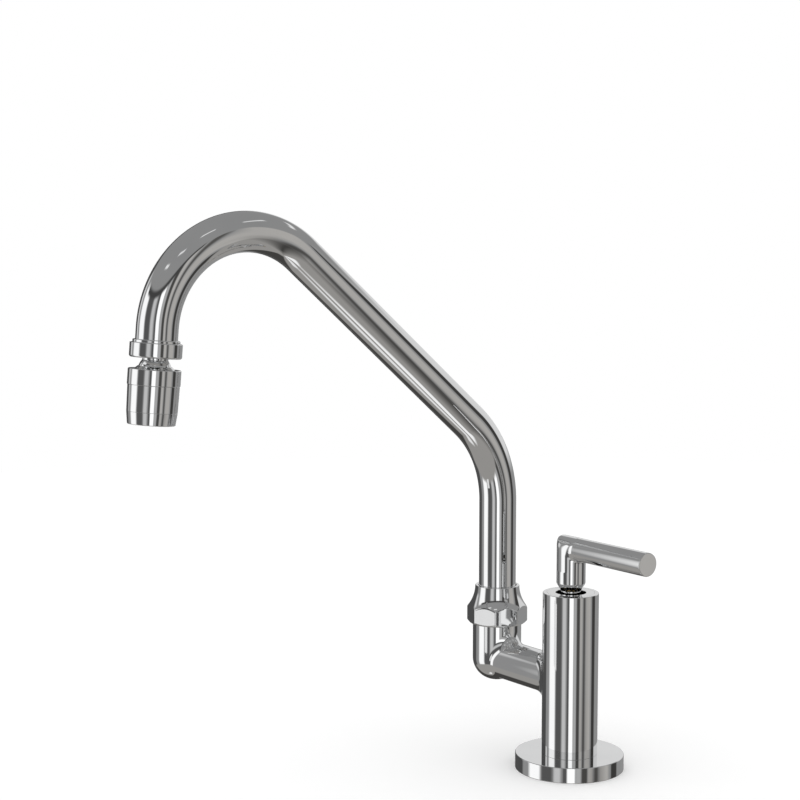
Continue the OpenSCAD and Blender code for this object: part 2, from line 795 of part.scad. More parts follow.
// Keys on two sides that hold the fixed disc, slimmer by the given gap
module disc_keys(gap, low, high) {
    for (side = [-1, 1])
        translate([-key_w / 2 + gap, side * disc_bore_r - key_depth + gap, low])
            cube([key_w - 2 * gap, 2 * (key_depth - gap), high - low]);
}

module cartridge_body() {
    color(brass)
        difference() {
            union() {
                difference() {
                    rod(barrel_r, seat_z, chamber_top_z + cut);
                    rod(disc_bore_r, seat_z - cut, web_z);
                    barrel_windows();
                }
                intersection() {
                    rod(disc_bore_r + cut / 2, seat_z, moving_disc_z);
                    disc_keys(run_gap, fixed_disc_z, moving_disc_z - run_gap);
                }
                rod(cartridge_thread_r, chamber_top_z, bonnet_flange_z + cut);
                rod(bonnet_flange_r, bonnet_flange_z, bonnet_hex_z);
                translate([0, 0, bonnet_hex_z])
                    cylinder(r = bonnet_hex_r, h = bonnet_hex_h, $fn = 6);
                rod(bonnet_neck_d / 2, bonnet_neck_z - cut, bonnet_top_z);
            }
            rod(spindle_hole_r, web_z - cut, bonnet_top_z + cut);
        }
}

module bonnet_gasket() {
    color(rubber)
        ring(bonnet_flange_r, cartridge_thread_r + fit_gap, bonnet_seat_z, bonnet_flange_z);
}

module seat_seal() {
    color(rubber)
        ring(disc_r - free_gap, waterway_r, seat_z, fixed_disc_z);
}

// Two opposite ports of a ceramic disc, turned about the axis
module ports(turn, low, high) {
    for (side = [0, 180])
        rotate(side + turn - port_sweep / 2)
            translate([0, 0, low])
                rotate_extrude(angle = port_sweep)
                    translate([port_in_r, 0])
                        square([port_out_r - port_in_r, high - low]);
}

module fixed_disc() {
    color(white_ceramic)
        difference() {
            rod(disc_r, fixed_disc_z, moving_disc_z);
            ports(0, fixed_disc_z - cut, moving_disc_z + cut);
            disc_keys(0, fixed_disc_z - cut, moving_disc_z + cut);
        }
}

// The driver's two lugs, larger by the given gap
module driver_lugs(gap, low, high) {
    for (side = [-1, 1])
        translate([side * (port_out_r - lug_length / 2) - lug_length / 2 - gap, -lug_w / 2 - gap, low])
            cube([lug_length + 2 * gap, lug_w + 2 * gap, high - low]);
}

module moving_disc() {
    color(grey_ceramic)
        difference() {
            rod(moving_disc_r, moving_disc_z, driver_z);
            ports(90, moving_disc_z - cut, driver_z + cut);
            driver_lugs(run_gap, driver_z - lug_depth, driver_z + cut);
        }
}

module spindle() {
    color(brass)
        difference() {
            union() {
                intersection() {
                    rod(moving_disc_r, driver_z, driver_z + driver_t);
                    translate([-moving_disc_r, -driver_w / 2, driver_z])
                        cube([2 * moving_disc_r, driver_w, driver_t]);
                }
                driver_lugs(0, driver_z - lug_depth + run_gap, driver_z + driver_t / 2);
                rod(spindle_r, driver_z + driver_t / 2, spindle_end_z);
                rod(thrust_r, thrust_z, thrust_z + thrust_t);
                rod(spindle_end_r, spindle_end_z - cut, spindle_top_z);
            }
            for (z = spindle_seal_z)
                shaft_groove(spindle_r, spindle_groove_r, z, spindle_groove_h);
            ring(spindle_r + cut, clip_groove_r, clip_z, clip_z + clip_t);
            translate([-spindle_end_r - cut, -spindle_end_r, grub_z - flat_drop])
                cube([spindle_flat + cut, spindle_end_d, spindle_top_z - grub_z + flat_drop + cut]);
        }
}

module spindle_o_rings() {
    color(rubber)
        for (z = spindle_seal_z)
            o_ring(spindle_groove_r, spindle_seal_d, z);
}

module spindle_clip() {
    color(steel)
        difference() {
            ring(clip_r, clip_groove_r, clip_z, clip_z + clip_t);
            translate([0, -clip_mouth / 2, clip_z - cut])
                cube([clip_r + cut, clip_mouth, clip_t + 2 * cut]);
        }
}

// A round rod along X at the lever's height
module lever_rod(r, x_low, x_high) {
    translate([x_low, 0, lever_z])
        rotate([0, 90, 0])
            cylinder(r = r, h = x_high - x_low);
}

// The stem's crown is rounded over along the lever, level with the lever's top
module handle_stem() {
    color(chrome)
        difference() {
            union() {
                rod(stem_neck_r, stem_low_z, stem_taper_z + cut);
                taper(stem_neck_r, stem_r, stem_taper_z, stem_taper_z + stem_taper_h);
                rod(stem_r, stem_taper_z + stem_taper_h, stem_crown_z);
                intersection() {
                    rod(stem_r, stem_crown_z - cut, stem_crown_z + stem_r + cut);
                    translate([-stem_r - cut, 0, stem_crown_z])
                        rotate([0, 90, 0])
                            cylinder(r = stem_r, h = 2 * (stem_r + cut));
                }
            }
            rod(stem_bore_r, stem_low_z - cut, spindle_top_z + free_gap);
            lever_rod(lever_stud_r + fit_gap, stem_r - lever_stud_length - free_gap, stem_r + cut);
            translate([-stem_r - cut, 0, grub_z])
                rotate([0, 90, 0])
                    cylinder(r = grub_r + fit_gap, h = stem_r + cut);
        }
}

module lever_bar() {
    color(chrome) {
        difference() {
            union() {
                lever_rod(lever_r, 0, lever_reach - lever_edge);
                translate([lever_reach - lever_edge, 0, lever_z])
                    rotate([0, 90, 0])
                        cylinder(r1 = lever_r, r2 = lever_r - lever_edge, h = lever_edge);
            }
            rod(stem_r, lever_z - stem_r, lever_z + stem_r);
        }
        lever_rod(lever_stud_r, stem_r - lever_stud_length, stem_r + lever_edge);
    }
}

// The screw presses on the spindle's flat, and its outer end has a hexagon socket
module grub_screw() {
    grub_length = stem_r - spindle_end_r + spindle_flat - grub_inset;
    color(steel)
        translate([-spindle_end_r + spindle_flat, 0, grub_z])
            rotate([0, -90, 0])
                difference() {
                    cylinder(r = grub_r, h = grub_length);
                    translate([0, 0, grub_length / 2])
                        cylinder(d = grub_key_d, h = grub_length, $fn = 6);
                }
}

// Outer form of the nut: bevelled below, and flared in to the rim above its corners.
// It runs past the corners, along the same bevel and flare, so only these cut the corners
module nut_profile() {
    rotate_extrude()
        difference() {
            polygon([
                [0, leg_top_z],
                [nut_corner_r - nut_bevel_w, leg_top_z],
                [nut_corner_r + cut, leg_top_z + nut_bevel_h * (1 + cut / nut_bevel_w)],
                [nut_corner_r + cut, nut_top_z],
                [0, nut_top_z]
            ]);
            translate([nut_rim_r + flare_r, nut_top_z])
                circle(r = flare_r);
        }
}

module coupling_nut() {
    color(chrome)
        at_riser()
            difference() {
                intersection() {
                    rotate(nut_turn)
                        translate([0, 0, leg_top_z - cut])
                            cylinder(r = nut_corner_r, h = nut_h + 2 * cut, $fn = 8);
                    nut_profile();
                }
                rod(nut_thread_r, leg_top_z - cut, nut_room_z);
                rod(retainer_r + free_gap, nut_room_z - cut, nut_step_z);
                rod(nut_hole_r, nut_step_z - cut, nut_top_z + cut);
            }
}

module swivel_bush() {
    color(nylon)
        at_riser()
            difference() {
                union() {
                    rod(bush_r, bush_low_z, leg_thread_top_z);
                    rod(bush_flange_r, leg_thread_top_z, retainer_z);
                }
                rod(bush_bore_r, bush_low_z - cut, retainer_z + cut);
            }
}

module swivel_nipple() {
    color(brass)
        at_riser()
            difference() {
                union() {
                    rod(nipple_r, nipple_low_z, tube_low_z);
                    rod(spigot_r_in_tube, tube_low_z - cut, tube_low_z + spigot_length);
                }
                rod(nipple_bore_r, nipple_low_z - cut, tube_low_z + spigot_length + cut);
                for (z = swivel_seal_z)
                    shaft_groove(nipple_r, swivel_groove_r, z, swivel_groove_h);
                ring(nipple_r + cut, nipple_r - retainer_groove, retainer_z, retainer_top_z);
            }
}

module swivel_o_rings() {
    color(rubber)
        at_riser()
            for (z = swivel_seal_z)
                o_ring(swivel_groove_r, swivel_seal_d, z);
}

module retaining_ring() {
    color(nylon)
        at_riser()
            difference() {
                ring(retainer_r, nipple_r - retainer_groove, retainer_z, retainer_top_z);
                translate([-retainer_slit / 2, 0, retainer_z - cut])
                    cube([retainer_slit, retainer_r + cut, retainer_t + 2 * cut]);
            }
}

module spout_tube() {
    color(chrome)
        in_spout_plane() {
            straight_tube([0, tube_low_z], 0, first_bend_z - tube_low_z, 0, lap);
            bent_tube([first_bend_r, first_bend_z], first_bend_r, 0, lean);
            straight_tube(lean_start, lean, lean_length, lap, lap);
            bent_tube(hook_centre, hook_r, lean, outlet_angle);
            straight_tube(hook_end, outlet_angle, tube_end_s, lap, 0);
        }
}

module spout_collar() {
    color(chrome)
        at_outlet()
            difference() {
                union() {
                    taper(collar_lip_r - collar_lip_bevel, collar_lip_r, lip_s, lip_s + collar_lip_bevel);
                    rod(collar_lip_r, lip_s + collar_lip_bevel, collar_s + cut);
                    rod(collar_r, collar_s, collar_end_s - collar_round);
                    rotate_extrude()
                        intersection() {
                            translate([collar_r - collar_round, collar_end_s - collar_round])
                                circle(r = collar_round);
                            translate([0, collar_end_s - collar_round])
                                square([collar_r, collar_round]);
                        }
                    rod(collar_r - collar_round, collar_end_s - collar_round - cut, collar_end_s);
                }
                rod(tube_r + fit_gap, lip_s - cut, tube_end_s);
                rod(collar_room_r, tube_end_s - cut, floor_s);
                rod(stud_hole_r, floor_s - cut, collar_end_s + cut);
            }
}

// The stud turns in the collar's floor and carries the ball on its neck
module ball_stud() {
    color(chrome)
        at_outlet()
            difference() {
                union() {
                    rod(stud_end_r, stud_top_s, stud_washer_s + cut);
                    rod(stud_r, stud_washer_s, neck_s + cut);
                    rod(neck_r, neck_s, ball_s);
                    intersection() {
                        translate([0, 0, ball_s])
                            sphere(r = ball_r);
                        rod(ball_r + cut, neck_s, ball_s + ball_r + cut);
                    }
                }
                rod(stud_bore_r, stud_top_s - cut, ball_s + ball_r + cut);
                shaft_groove(stud_r, stud_groove_r, stud_seal_s, stud_groove_h);
            }
}

module stud_washer() {
    color(brass)
        at_outlet()
            ring(stud_washer_d / 2, stud_end_r + fit_gap, stud_top_s, stud_washer_s);
}

module stud_o_ring() {
    color(rubber)
        at_outlet()
            o_ring(stud_groove_r, stud_seal_d, stud_seal_s);
}

// The cap's lip and upper wall close over the ball
module aerator_cap() {
    color(chrome)
        at_outlet()
            difference() {
                rotate_extrude()
                    polygon([
                        [0, cap_lip_s],
                        [cap_lip_r, cap_lip_s],
                        [cap_lip_r + cap_lip_spread, cap_s],
                        [cap_r - cap_edge, cap_s],
                        [cap_r, cap_s + cap_edge],
                        [cap_r, cap_end_s],
                        [0, cap_end_s]
                    ]);
                rotate_extrude()
                    intersection() {
                        translate([0, ball_s])
                            circle(r = socket_r);
                        translate([0, ball_s - socket_r - cut])
                            square([socket_r + cut, socket_r + cut + cap_step_s - ball_s]);
                    }
                rod(cap_bore_r, cap_step_s, cap_end_s + cut);
            }
}

module ball_seat() {
    color(nylon)
        at_outlet()
            difference() {
                rod(ball_seat_r, cap_step_s, shell_floor_s);
                translate([0, 0, ball_s])
                    sphere(r = socket_r);
                rod(stud_bore_r + seat_bore_room, ball_s, shell_floor_s + cut);
            }
}

module aerator_shell() {
    color(chrome)
        at_outlet()
            difference() {
                union() {
                    rod(shell_neck_r, shell_neck_s, cap_end_s + cut);
                    taper(shell_r, shell_end_r, cap_end_s, shell_end_s);
                }
                rod(shell_neck_bore_r, shell_neck_s - cut, shell_floor_s);
                rod(web_hole_r, shell_floor_s - cut, shell_web_end_s + cut);
                rod(shell_bore_r, shell_web_end_s, shell_end_s + cut);
            }
}

module aerator_washer() {
    color(rubber)
        at_outlet()
            ring(insert_flange_r, insert_bore_r - washer_reach, washer_s, insert_flange_s);
}

// A cup with crossed ribs that breaks the stream up
module aerator_insert() {
    color(nylon)
        at_outlet() {
            ring(insert_flange_r, insert_bore_r, insert_flange_s, nozzle_neck_s);
            ring(insert_r, insert_bore_r, nozzle_neck_s, screen_s);
            intersection() {
                rod(insert_bore_r + insert_wall / 2, nozzle_neck_s, screen_s);
                for (turn = [0:45:135])
                    rotate(turn)
                        translate([-insert_r, -rib_t / 2, nozzle_neck_s + rib_drop])
                            cube([2 * insert_r, rib_t, screen_s - nozzle_neck_s - rib_drop - rib_lift]);
            }
        }
}

// A disc pierced by round holes in a six-sided pattern
module aerator_screen() {
    rows = floor((screen_r - screen_hole_d) / screen_pitch);
    color(steel)
        at_outlet()
            difference() {
                rod(screen_r, screen_s, nozzle_lip_s);
                for (i = [-rows:rows], j = [-rows:rows])
                    if (abs(i + j) <= rows)
                        translate([screen_pitch * (i + j / 2), screen_pitch * j * sin(60), screen_s - cut])
                            cylinder(d = screen_hole_d, h = screen_t + 2 * cut, $fn = 16);
            }
}

module nozzle_ring() {
    color(chrome)
        at_outlet()
            difference() {
                union() {
                    rod(nozzle_neck_r, nozzle_neck_s, shell_end_s + cut);
                    taper(shell_end_r, nozzle_end_r, shell_end_s, nozzle_end_s);
                }
                rod(nozzle_bore_r, nozzle_neck_s - cut, nozzle_lip_s);
                rod(nozzle_mouth_r, nozzle_lip_s - cut, nozzle_end_s + cut);
            }
}

base_flange();
base_seal();
valve_body();
top_cover();
inlet_shank();
shank_seal();
deck_gasket();
clamp_washer();
lock_nut();
cartridge_body();
bonnet_gasket();
seat_seal();
fixed_disc();
moving_disc();
spindle();
spindle_o_rings();
spindle_clip();
handle_stem();
lever_bar();
grub_screw();
coupling_nut();
swivel_bush();
swivel_nipple();
swivel_o_rings();
retaining_ring();
spout_tube();
spout_collar();
ball_stud();
stud_washer();
stud_o_ring();
aerator_cap();
ball_seat();
aerator_shell();
aerator_washer();
aerator_insert();
aerator_screen();
nozzle_ring();
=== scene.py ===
import json
import math

import bpy
import numpy as np
from mathutils import Matrix, Vector


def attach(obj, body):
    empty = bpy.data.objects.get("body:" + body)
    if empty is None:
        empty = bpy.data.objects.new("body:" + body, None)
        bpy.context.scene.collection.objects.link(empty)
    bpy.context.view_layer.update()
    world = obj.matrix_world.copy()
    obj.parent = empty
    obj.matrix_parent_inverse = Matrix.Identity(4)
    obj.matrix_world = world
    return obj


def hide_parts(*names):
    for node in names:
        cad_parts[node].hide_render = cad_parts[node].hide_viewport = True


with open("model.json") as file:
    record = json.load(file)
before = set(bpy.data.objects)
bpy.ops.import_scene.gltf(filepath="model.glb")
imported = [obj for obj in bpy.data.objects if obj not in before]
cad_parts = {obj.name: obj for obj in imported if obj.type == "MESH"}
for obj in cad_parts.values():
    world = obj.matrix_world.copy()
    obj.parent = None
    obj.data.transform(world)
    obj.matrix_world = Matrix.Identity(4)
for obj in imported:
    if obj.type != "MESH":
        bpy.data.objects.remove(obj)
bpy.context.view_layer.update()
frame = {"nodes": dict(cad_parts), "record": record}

# Lengths below are in millimetres and angles in degrees, as on a drawing, up to the studio.
MM = 0.001
# Points nearer than WELD become one, and a turned form has AROUND steps
WELD, AROUND = 1e-4, 96

# ---------------------------------------------------------------- sizes
FLANGE_R, FLANGE_T = 28.25, 8.0
BODY_R, BODY_TOP, SPIGOT_R, FOOT_Z = 14.5, 92.8, 12.5, 0.6
COVER_R, COVER_T, COVER_HOLE_R = 12.3, 4.0, 7.9
ARM_Z, ARM_R = 46.6, 10.5
LEG_X, LEG_R, LEG_FOOT_Z, ELBOW, LEG_TOP = -60.0, 13.2, 34.6, 12.0, 66.1
COLUMN_ROOT, LEG_ROOT = 9.0, 6.0
STEM_R, NECK_R, NECK_LOW, LEVER_R, LEVER_Z, LEVER_END = 7.5, 5.3, 79.75, 6.0, 116.0, 56.3
CROWN_Z = LEVER_Z + LEVER_R - STEM_R
BOSS_X = 9.2
NUT_FLAT_R, NUT_TOP, NUT_CORNER_Z, NUT_RIM_R = 15.2, 86.8, 74.6, 12.0
TUBE_R, TUBE_BORE_R = 10.0, 9.0
OUTLET_ANGLE, LEAN = 175.0, 49.6
# Gap round a piece that slips into another
SLIP = 0.05
# Bores and spigots inside the valve body, as (radius, height) along their profiles
SHANK_SOCKET = [(0, 15.6), (9.05, 15.6), (9.05, FOOT_Z)]
CARTRIDGE_BORE = [
    (11.5, BODY_TOP - COVER_T), (11.5, 62.1), (10.5, 62.1), (10.5, 54.1), (11.3, 54.1), (11.3, 40.6),
    (9.15, 40.6), (9.15, 36.1), (0, 36.1)]
LEG_SPIGOT = [(12.5, LEG_TOP), (12.5, 74.8)]
SWIVEL_BORE = [(10.85, 74.8), (10.85, 64.8), (10.15, 64.8), (10.15, 49.8), (0, 49.8)]


def unit(v):
    v = np.asarray(v, float)
    return v / np.linalg.norm(v, axis=-1, keepdims=True)


# ---------------------------------------------------------------- meshes
class Skin:
    """Patches of quads, each corner with its own exact normal, welded into one mesh."""

    def __init__(self):
        self.points, self.normals, self.quads, self.count = [], [], [], 0

    def patch(self, points, normals):
        """A grid of points, rows by columns, that runs on where its ends meet."""
        points = np.asarray(points, float)
        normals = unit(np.broadcast_to(normals, points.shape))
        rows, cols = points.shape[:2]
        index = np.arange(rows * cols).reshape(rows, cols) + self.count
        quads = np.stack(
            [index[:-1, :-1], index[:-1, 1:], index[1:, 1:], index[1:, :-1]], -1
        ).reshape(-1, 4)
        flat_p, flat_n = points.reshape(-1, 3), normals.reshape(-1, 3)
        local = quads - self.count
        a, b, c, d = (flat_p[local[:, i]] for i in range(4))
        facing = np.einsum("ij,ij->i", np.cross(c - a, d - b), flat_n[local].sum(1))
        if facing.sum() < 0:
            quads = quads[:, ::-1]
        self.points.append(flat_p)
        self.normals.append(flat_n)
        self.quads.append(quads)
        self.count += rows * cols

    def build(self, name, body, slot, nodes):
        points, normals = np.concatenate(self.points), np.concatenate(self.normals)
        quads = np.concatenate(self.quads)
        _, first, weld = np.unique(
            np.round(points / WELD).astype(np.int64), axis=0, return_index=True, return_inverse=True
        )
        weld = weld.reshape(-1)
        faces, corner_normals = [], []
        for quad, face in zip(quads, weld[quads]):
            keep = [i for i in range(4) if face[i] != face[i - 1]]
            if len(set(face[keep])) < 3:
                continue
            faces.append([int(face[i]) for i in keep])
            corner_normals.extend(normals[quad[i]] for i in keep)
        mesh = bpy.data.meshes.new(name)
        mesh.from_pydata(points[first] * MM, [], faces)
        mesh.polygons.foreach_set("use_smooth", [True] * len(mesh.polygons))
        mesh.normals_split_custom_set(corner_normals)
        mesh.update()
        obj = bpy.data.objects.new(name, mesh)
        bpy.context.scene.collection.objects.link(obj)
        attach(obj, body)
        if nodes:
            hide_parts(*nodes)
        mesh.materials.append(MATERIALS[slot])
        return obj


def runs_of(corners, closed=True, steps=5):
    """Runs of (r, h, normal r, normal h) along a profile with rounded corners.

    The profile goes counter-clockwise in (r, h), so its outside is on the right."""
    corners = [tuple(c) + (0.0,) * (3 - len(c)) for c in corners]
    n = len(corners)
    starts, ends, arcs = {}, {}, {}
    for i, (r, h, rounding) in enumerate(corners):
        here = np.array([r, h])
        starts[i] = ends[i] = here
        if rounding <= 0 or (not closed and i in (0, n - 1)):
            continue
        before = unit(here - np.array(corners[i - 1][:2]))
        after = unit(np.array(corners[(i + 1) % n][:2]) - here)
        turn = math.atan2(before[0] * after[1] - before[1] * after[0], float(before @ after))
        reach = rounding * math.tan(abs(turn) / 2)
        ends[i], starts[i] = here - before * reach, here + after * reach
        side = 1.0 if turn > 0 else -1.0
        centre = ends[i] + side * rounding * np.array([-before[1], before[0]])
        arc = []
        for k in range(steps + 1):
            angle = turn * k / steps
            out = np.array([before[1], -before[0]])
            out = np.array([
                out[0] * math.cos(angle) - out[1] * math.sin(angle),
                out[0] * math.sin(angle) + out[1] * math.cos(angle),
            ])
            arc.append(np.concatenate([centre + side * rounding * out, out]))
        arcs[i] = np.array(arc)
    runs = []
    for i in range(n if closed else n - 1):
        j = (i + 1) % n
        if i in arcs:
            runs.append(arcs[i])
        low, high = starts[i], ends[j]
        along = high - low
        if np.linalg.norm(along) > WELD:
            out = unit(np.array([along[1], -along[0]]))
            runs.append(np.array([[*low, *out], [*high, *out]]))
    return runs


class Axis:
    """A turning axis: its origin, its direction, and the direction of angle 0."""

    def __init__(self, origin=(0, 0, 0), up=(0, 0, 1), zero=(1, 0, 0)):
        self.origin, self.up, self.zero = np.array(origin, float), unit(up), unit(zero)
        self.side = np.cross(self.up, self.zero)

    def place(self, r, h, angle):
        r, h, angle = (np.asarray(v, float)[..., None] for v in np.broadcast_arrays(r, h, angle))
        ring = np.cos(angle) * self.zero + np.sin(angle) * self.side
        return self.origin + r * ring + h * self.up

    def aim(self, nr, nh, angle):
        return self.place(nr, nh, angle) - self.origin


def turned(skin, runs, axis, angles=None):
    """Turns profile runs about an axis."""
    if angles is None:
        angles = np.linspace(0, 2 * math.pi, AROUND + 1)
    for run in runs:
        r, h, nr, nh = (run[:, i][:, None] for i in range(4))
        skin.patch(axis.place(r, h, angles[None, :]), axis.aim(nr, nh, angles[None, :]))


def lathe(name, body, slot, nodes, corners, axis, closed=True, steps=5, around=AROUND):
    skin = Skin()
    turned(skin, runs_of(corners, closed, steps), axis, np.linspace(0, 2 * math.pi, around + 1))
    return skin.build(name, body, slot, nodes)


def smooth_min(a, b, k):
    blend = np.clip(0.5 + 0.5 * (b - a) / k, 0, 1)
    return b * (1 - blend) + a * blend - k * blend * (1 - blend)


def smooth_max(a, b, k):
    return -smooth_min(-a, -b, k)


def slope(field, points, step=1e-4):
    parts = []
    for axis in range(3):
        shift = np.zeros(3)
        shift[axis] = step
        parts.append((field(points + shift) - field(points - shift)) / (2 * step))
    return np.stack(parts, -1)


def settle(field, points, passes=12):
    """Moves points onto the surface where the field is zero; returns them and their normals."""
    for _ in range(passes):
        grad = slope(field, points)
        scale = np.maximum((grad * grad).sum(-1, keepdims=True), 0.05)
        points = points - field(points)[..., None] * grad / scale
    return points, unit(slope(field, points))


# ---------------------------------------------------------------- materials
# Height of the fine relief, in metres
RELIEF_DEPTH = 0.00002


def material(name):
    mat = bpy.data.materials.new(name)
    mat.use_nodes = True
    nodes, links = mat.node_tree.nodes, mat.node_tree.links
    return mat, nodes, links, nodes["Principled BSDF"]


def noise(nodes, links, scale, detail, stretch=None):
    coords = nodes.new("ShaderNodeTexCoord")
    tex = nodes.new("ShaderNodeTexNoise")
    tex.inputs["Scale"].default_value = scale
    tex.inputs["Detail"].default_value = detail
    source = coords.outputs["Object"]
    if stretch:
        mapping = nodes.new("ShaderNodeMapping")
        mapping.inputs["Scale"].default_value = stretch
        links.new(source, mapping.inputs["Vector"])
        source = mapping.outputs["Vector"]
    links.new(source, tex.inputs["Vector"])
    return tex


def ramp(nodes, links, source, low, high, start=0.3, end=0.7):
    node = nodes.new("ShaderNodeValToRGB")
    node.color_ramp.elements[0].position, node.color_ramp.elements[1].position = start, end
    node.color_ramp.elements[0].color = (*low, 1)
    node.color_ramp.elements[1].color = (*high, 1)
    links.new(source, node.inputs["Fac"])
    return node


def spread(nodes, links, source, low, high):
    node = nodes.new("ShaderNodeMapRange")
    node.inputs["To Min"].default_value, node.inputs["To Max"].default_value = low, high
    links.new(source, node.inputs["Value"])
    return node


def surface(name, low, high, rough, metallic, colour_scale, rough_scale, bump_scale, bump,
            stretch=None, **sockets):
    """Colour, roughness and relief that vary at three scales of their own."""
    mat, nodes, links, bsdf = material(name)
    tone = noise(nodes, links, colour_scale, 3, stretch)
    colour = ramp(nodes, links, tone.outputs["Fac"], low, high)
    links.new(colour.outputs["Color"], bsdf.inputs["Base Color"])
    wear = noise(nodes, links, rough_scale, 4, stretch)
    roughness = spread(nodes, links, wear.outputs["Fac"], *rough)
    links.new(roughness.outputs["Result"], bsdf.inputs["Roughness"])
    grain = noise(nodes, links, bump_scale, 2, stretch)
    relief = nodes.new("ShaderNodeBump")
    relief.inputs["Strength"].default_value = bump
    relief.inputs["Distance"].default_value = RELIEF_DEPTH
    links.new(grain.outputs["Fac"], relief.inputs["Height"])
    links.new(relief.outputs["Normal"], bsdf.inputs["Normal"])
    bsdf.inputs["Metallic"].default_value = metallic
    for socket, value in sockets.items():
        bsdf.inputs[socket.replace("_", " ")].default_value = value
    return mat


MATERIALS = {
    "chrome_plate": surface("chrome_plate", (0.80, 0.805, 0.81), (0.84, 0.843, 0.845),
                            (0.015, 0.05), 1.0, 40, 90, 400, 0.04),
    "brass": surface("brass", (0.72, 0.52, 0.22), (0.80, 0.62, 0.31),
                     (0.16, 0.34), 1.0, 120, 260, 1500, 0.25, stretch=(1, 1, 9)),
    "steel": surface("steel", (0.50, 0.50, 0.51), (0.62, 0.62, 0.63),
                     (0.20, 0.38), 1.0, 150, 300, 1800, 0.25, stretch=(1, 1, 6)),
    "seal_rubber": surface("seal_rubber", (0.012, 0.012, 0.013), (0.03, 0.03, 0.032),
                           (0.45, 0.7), 0.0, 200, 400, 2200, 0.4),
    "white_ceramic": surface("white_ceramic", (0.82, 0.82, 0.79), (0.88, 0.88, 0.86),
                             (0.12, 0.22), 0.0, 150, 500, 2000, 0.06, Coat_Weight=0.3),
    "grey_ceramic": surface("grey_ceramic", (0.30, 0.31, 0.33), (0.38, 0.39, 0.41),
                            (0.12, 0.22), 0.0, 150, 500, 2000, 0.06, Coat_Weight=0.3),
    "nylon": surface("nylon", (0.74, 0.73, 0.67), (0.80, 0.79, 0.74),
                     (0.35, 0.5), 0.0, 120, 350, 1600, 0.2),
}
SLOTS = {row["node"]: row["material_slot"] for row in frame["record"]["subparts"]}
for node_name, node in frame["nodes"].items():
    node.data.materials.clear()
    node.data.materials.append(MATERIALS[SLOTS[node_name]])

# ---------------------------------------------------------------- flange, cover and valve body
UPRIGHT = Axis()
lathe("base_flange_form", "base", "chrome_plate", ["base_flange"], [
    (SPIGOT_R + SLIP, 0, 0.2), (20.5, 0), (20.5, 2.2), (23.5, 2.2), (23.5, 0),
    (FLANGE_R, 0, 0.35), (FLANGE_R, FLANGE_T, 0.45), (SPIGOT_R + SLIP, FLANGE_T),
], UPRIGHT, around=160)
lathe("top_cover_form", "base", "chrome_plate", ["top_cover"], [
    (COVER_HOLE_R, BODY_TOP - COVER_T), (COVER_R, BODY_TOP - COVER_T),
    (COVER_R, BODY_TOP, 0.06), (COVER_HOLE_R, BODY_TOP, 0.25),
], UPRIGHT, around=128)


def loop_angles(trace, side):
    """Angles round the arm at which its root meets the rays to a square's edge points."""
    fine = np.linspace(-math.pi, math.pi, 4001)
    across, along = trace(fine)
    ray = np.unwrap(np.arctan2(across, along))
    return np.interp(np.arctan2(side[:, 0], side[:, 1]), ray, fine)


def square_edge(half):
    """Points round a square from its top middle, clockwise, and back to it."""
    t = np.arange(half) / half
    up = np.stack([t, np.ones(half)], -1)
    right = np.stack([np.ones(2 * half), 1 - np.arange(2 * half) / half], -1)
    low = np.stack([1 - np.arange(2 * half) / half, -np.ones(2 * half)], -1)
    left = np.stack([-np.ones(2 * half), -1 + np.arange(2 * half) / half], -1)
    last = np.stack([-1 + t, np.ones(half)], -1)
    return np.concatenate([up, right, low, left, last, [[0.0, 1.0]]])


def root_angles(trace, edge):
    """The same, with the last point a full turn after the first."""
    angles = loop_angles(trace, edge[:-1])
    angles = np.where(angles < -1e-9, angles + 2 * math.pi, angles)
    return np.append(angles, angles[0] + 2 * math.pi)


HALF = 24
EDGE = square_edge(HALF)
BACK = np.linspace(math.pi / 2, 3 * math.pi / 2, 2 * HALF + 1)
FRONT = np.linspace(-math.pi / 2, math.pi / 2, 2 * HALF + 1)
RING = np.concatenate([FRONT, BACK[1:]])
COLUMN_BALL, LEG_BALL = ARM_R + COLUMN_ROOT, ARM_R + LEG_ROOT
COLUMN_AXIS = Axis(zero=(-1, 0, 0))
LEG_AXIS = Axis(origin=(LEG_X, 0, 0))
COLUMN_LOW, COLUMN_HIGH = ARM_Z - COLUMN_BALL - 3, ARM_Z + COLUMN_BALL + 3
ARC_LENGTH = ELBOW * math.pi / 2
LEG_LOW, LEG_HIGH = 1.2, ARC_LENGTH + LEG_BALL + 1.5


def leg_at(s):
    """Radius, height and normal of the leg's outline at a length along it from the foot."""
    angle = np.clip(np.asarray(s, float) / ELBOW, 0, math.pi / 2)
    r = LEG_R - ELBOW + ELBOW * np.sin(angle)
    z = LEG_FOOT_Z + ELBOW - ELBOW * np.cos(angle) + np.maximum(s - ARC_LENGTH, 0)
    return r, z, np.sin(angle), -np.cos(angle)


def column_ball(phi):
    y, z = COLUMN_BALL * np.sin(phi), ARM_Z + COLUMN_BALL * np.cos(phi)
    return np.stack([-np.sqrt((BODY_R + COLUMN_ROOT) ** 2 - y ** 2), y, z], -1)


def leg_ball(phi):
    y, z = LEG_BALL * np.sin(phi), ARM_Z + LEG_BALL * np.cos(phi)
    drop = np.maximum(LEG_FOOT_Z + ELBOW - z, 0)
    reach = LEG_R - ELBOW + np.sqrt((ELBOW + LEG_ROOT) ** 2 - drop ** 2)
    return np.stack([LEG_X + np.sqrt(reach ** 2 - y ** 2), y, z], -1), reach, drop


def column_trace(phi):
    ball = column_ball(phi)
    across = np.arctan2(ball[:, 1], -ball[:, 0]) / (math.pi / 2)
    along = (ball[:, 2] - (COLUMN_LOW + COLUMN_HIGH) / 2) / ((COLUMN_HIGH - COLUMN_LOW) / 2)
    return across, along


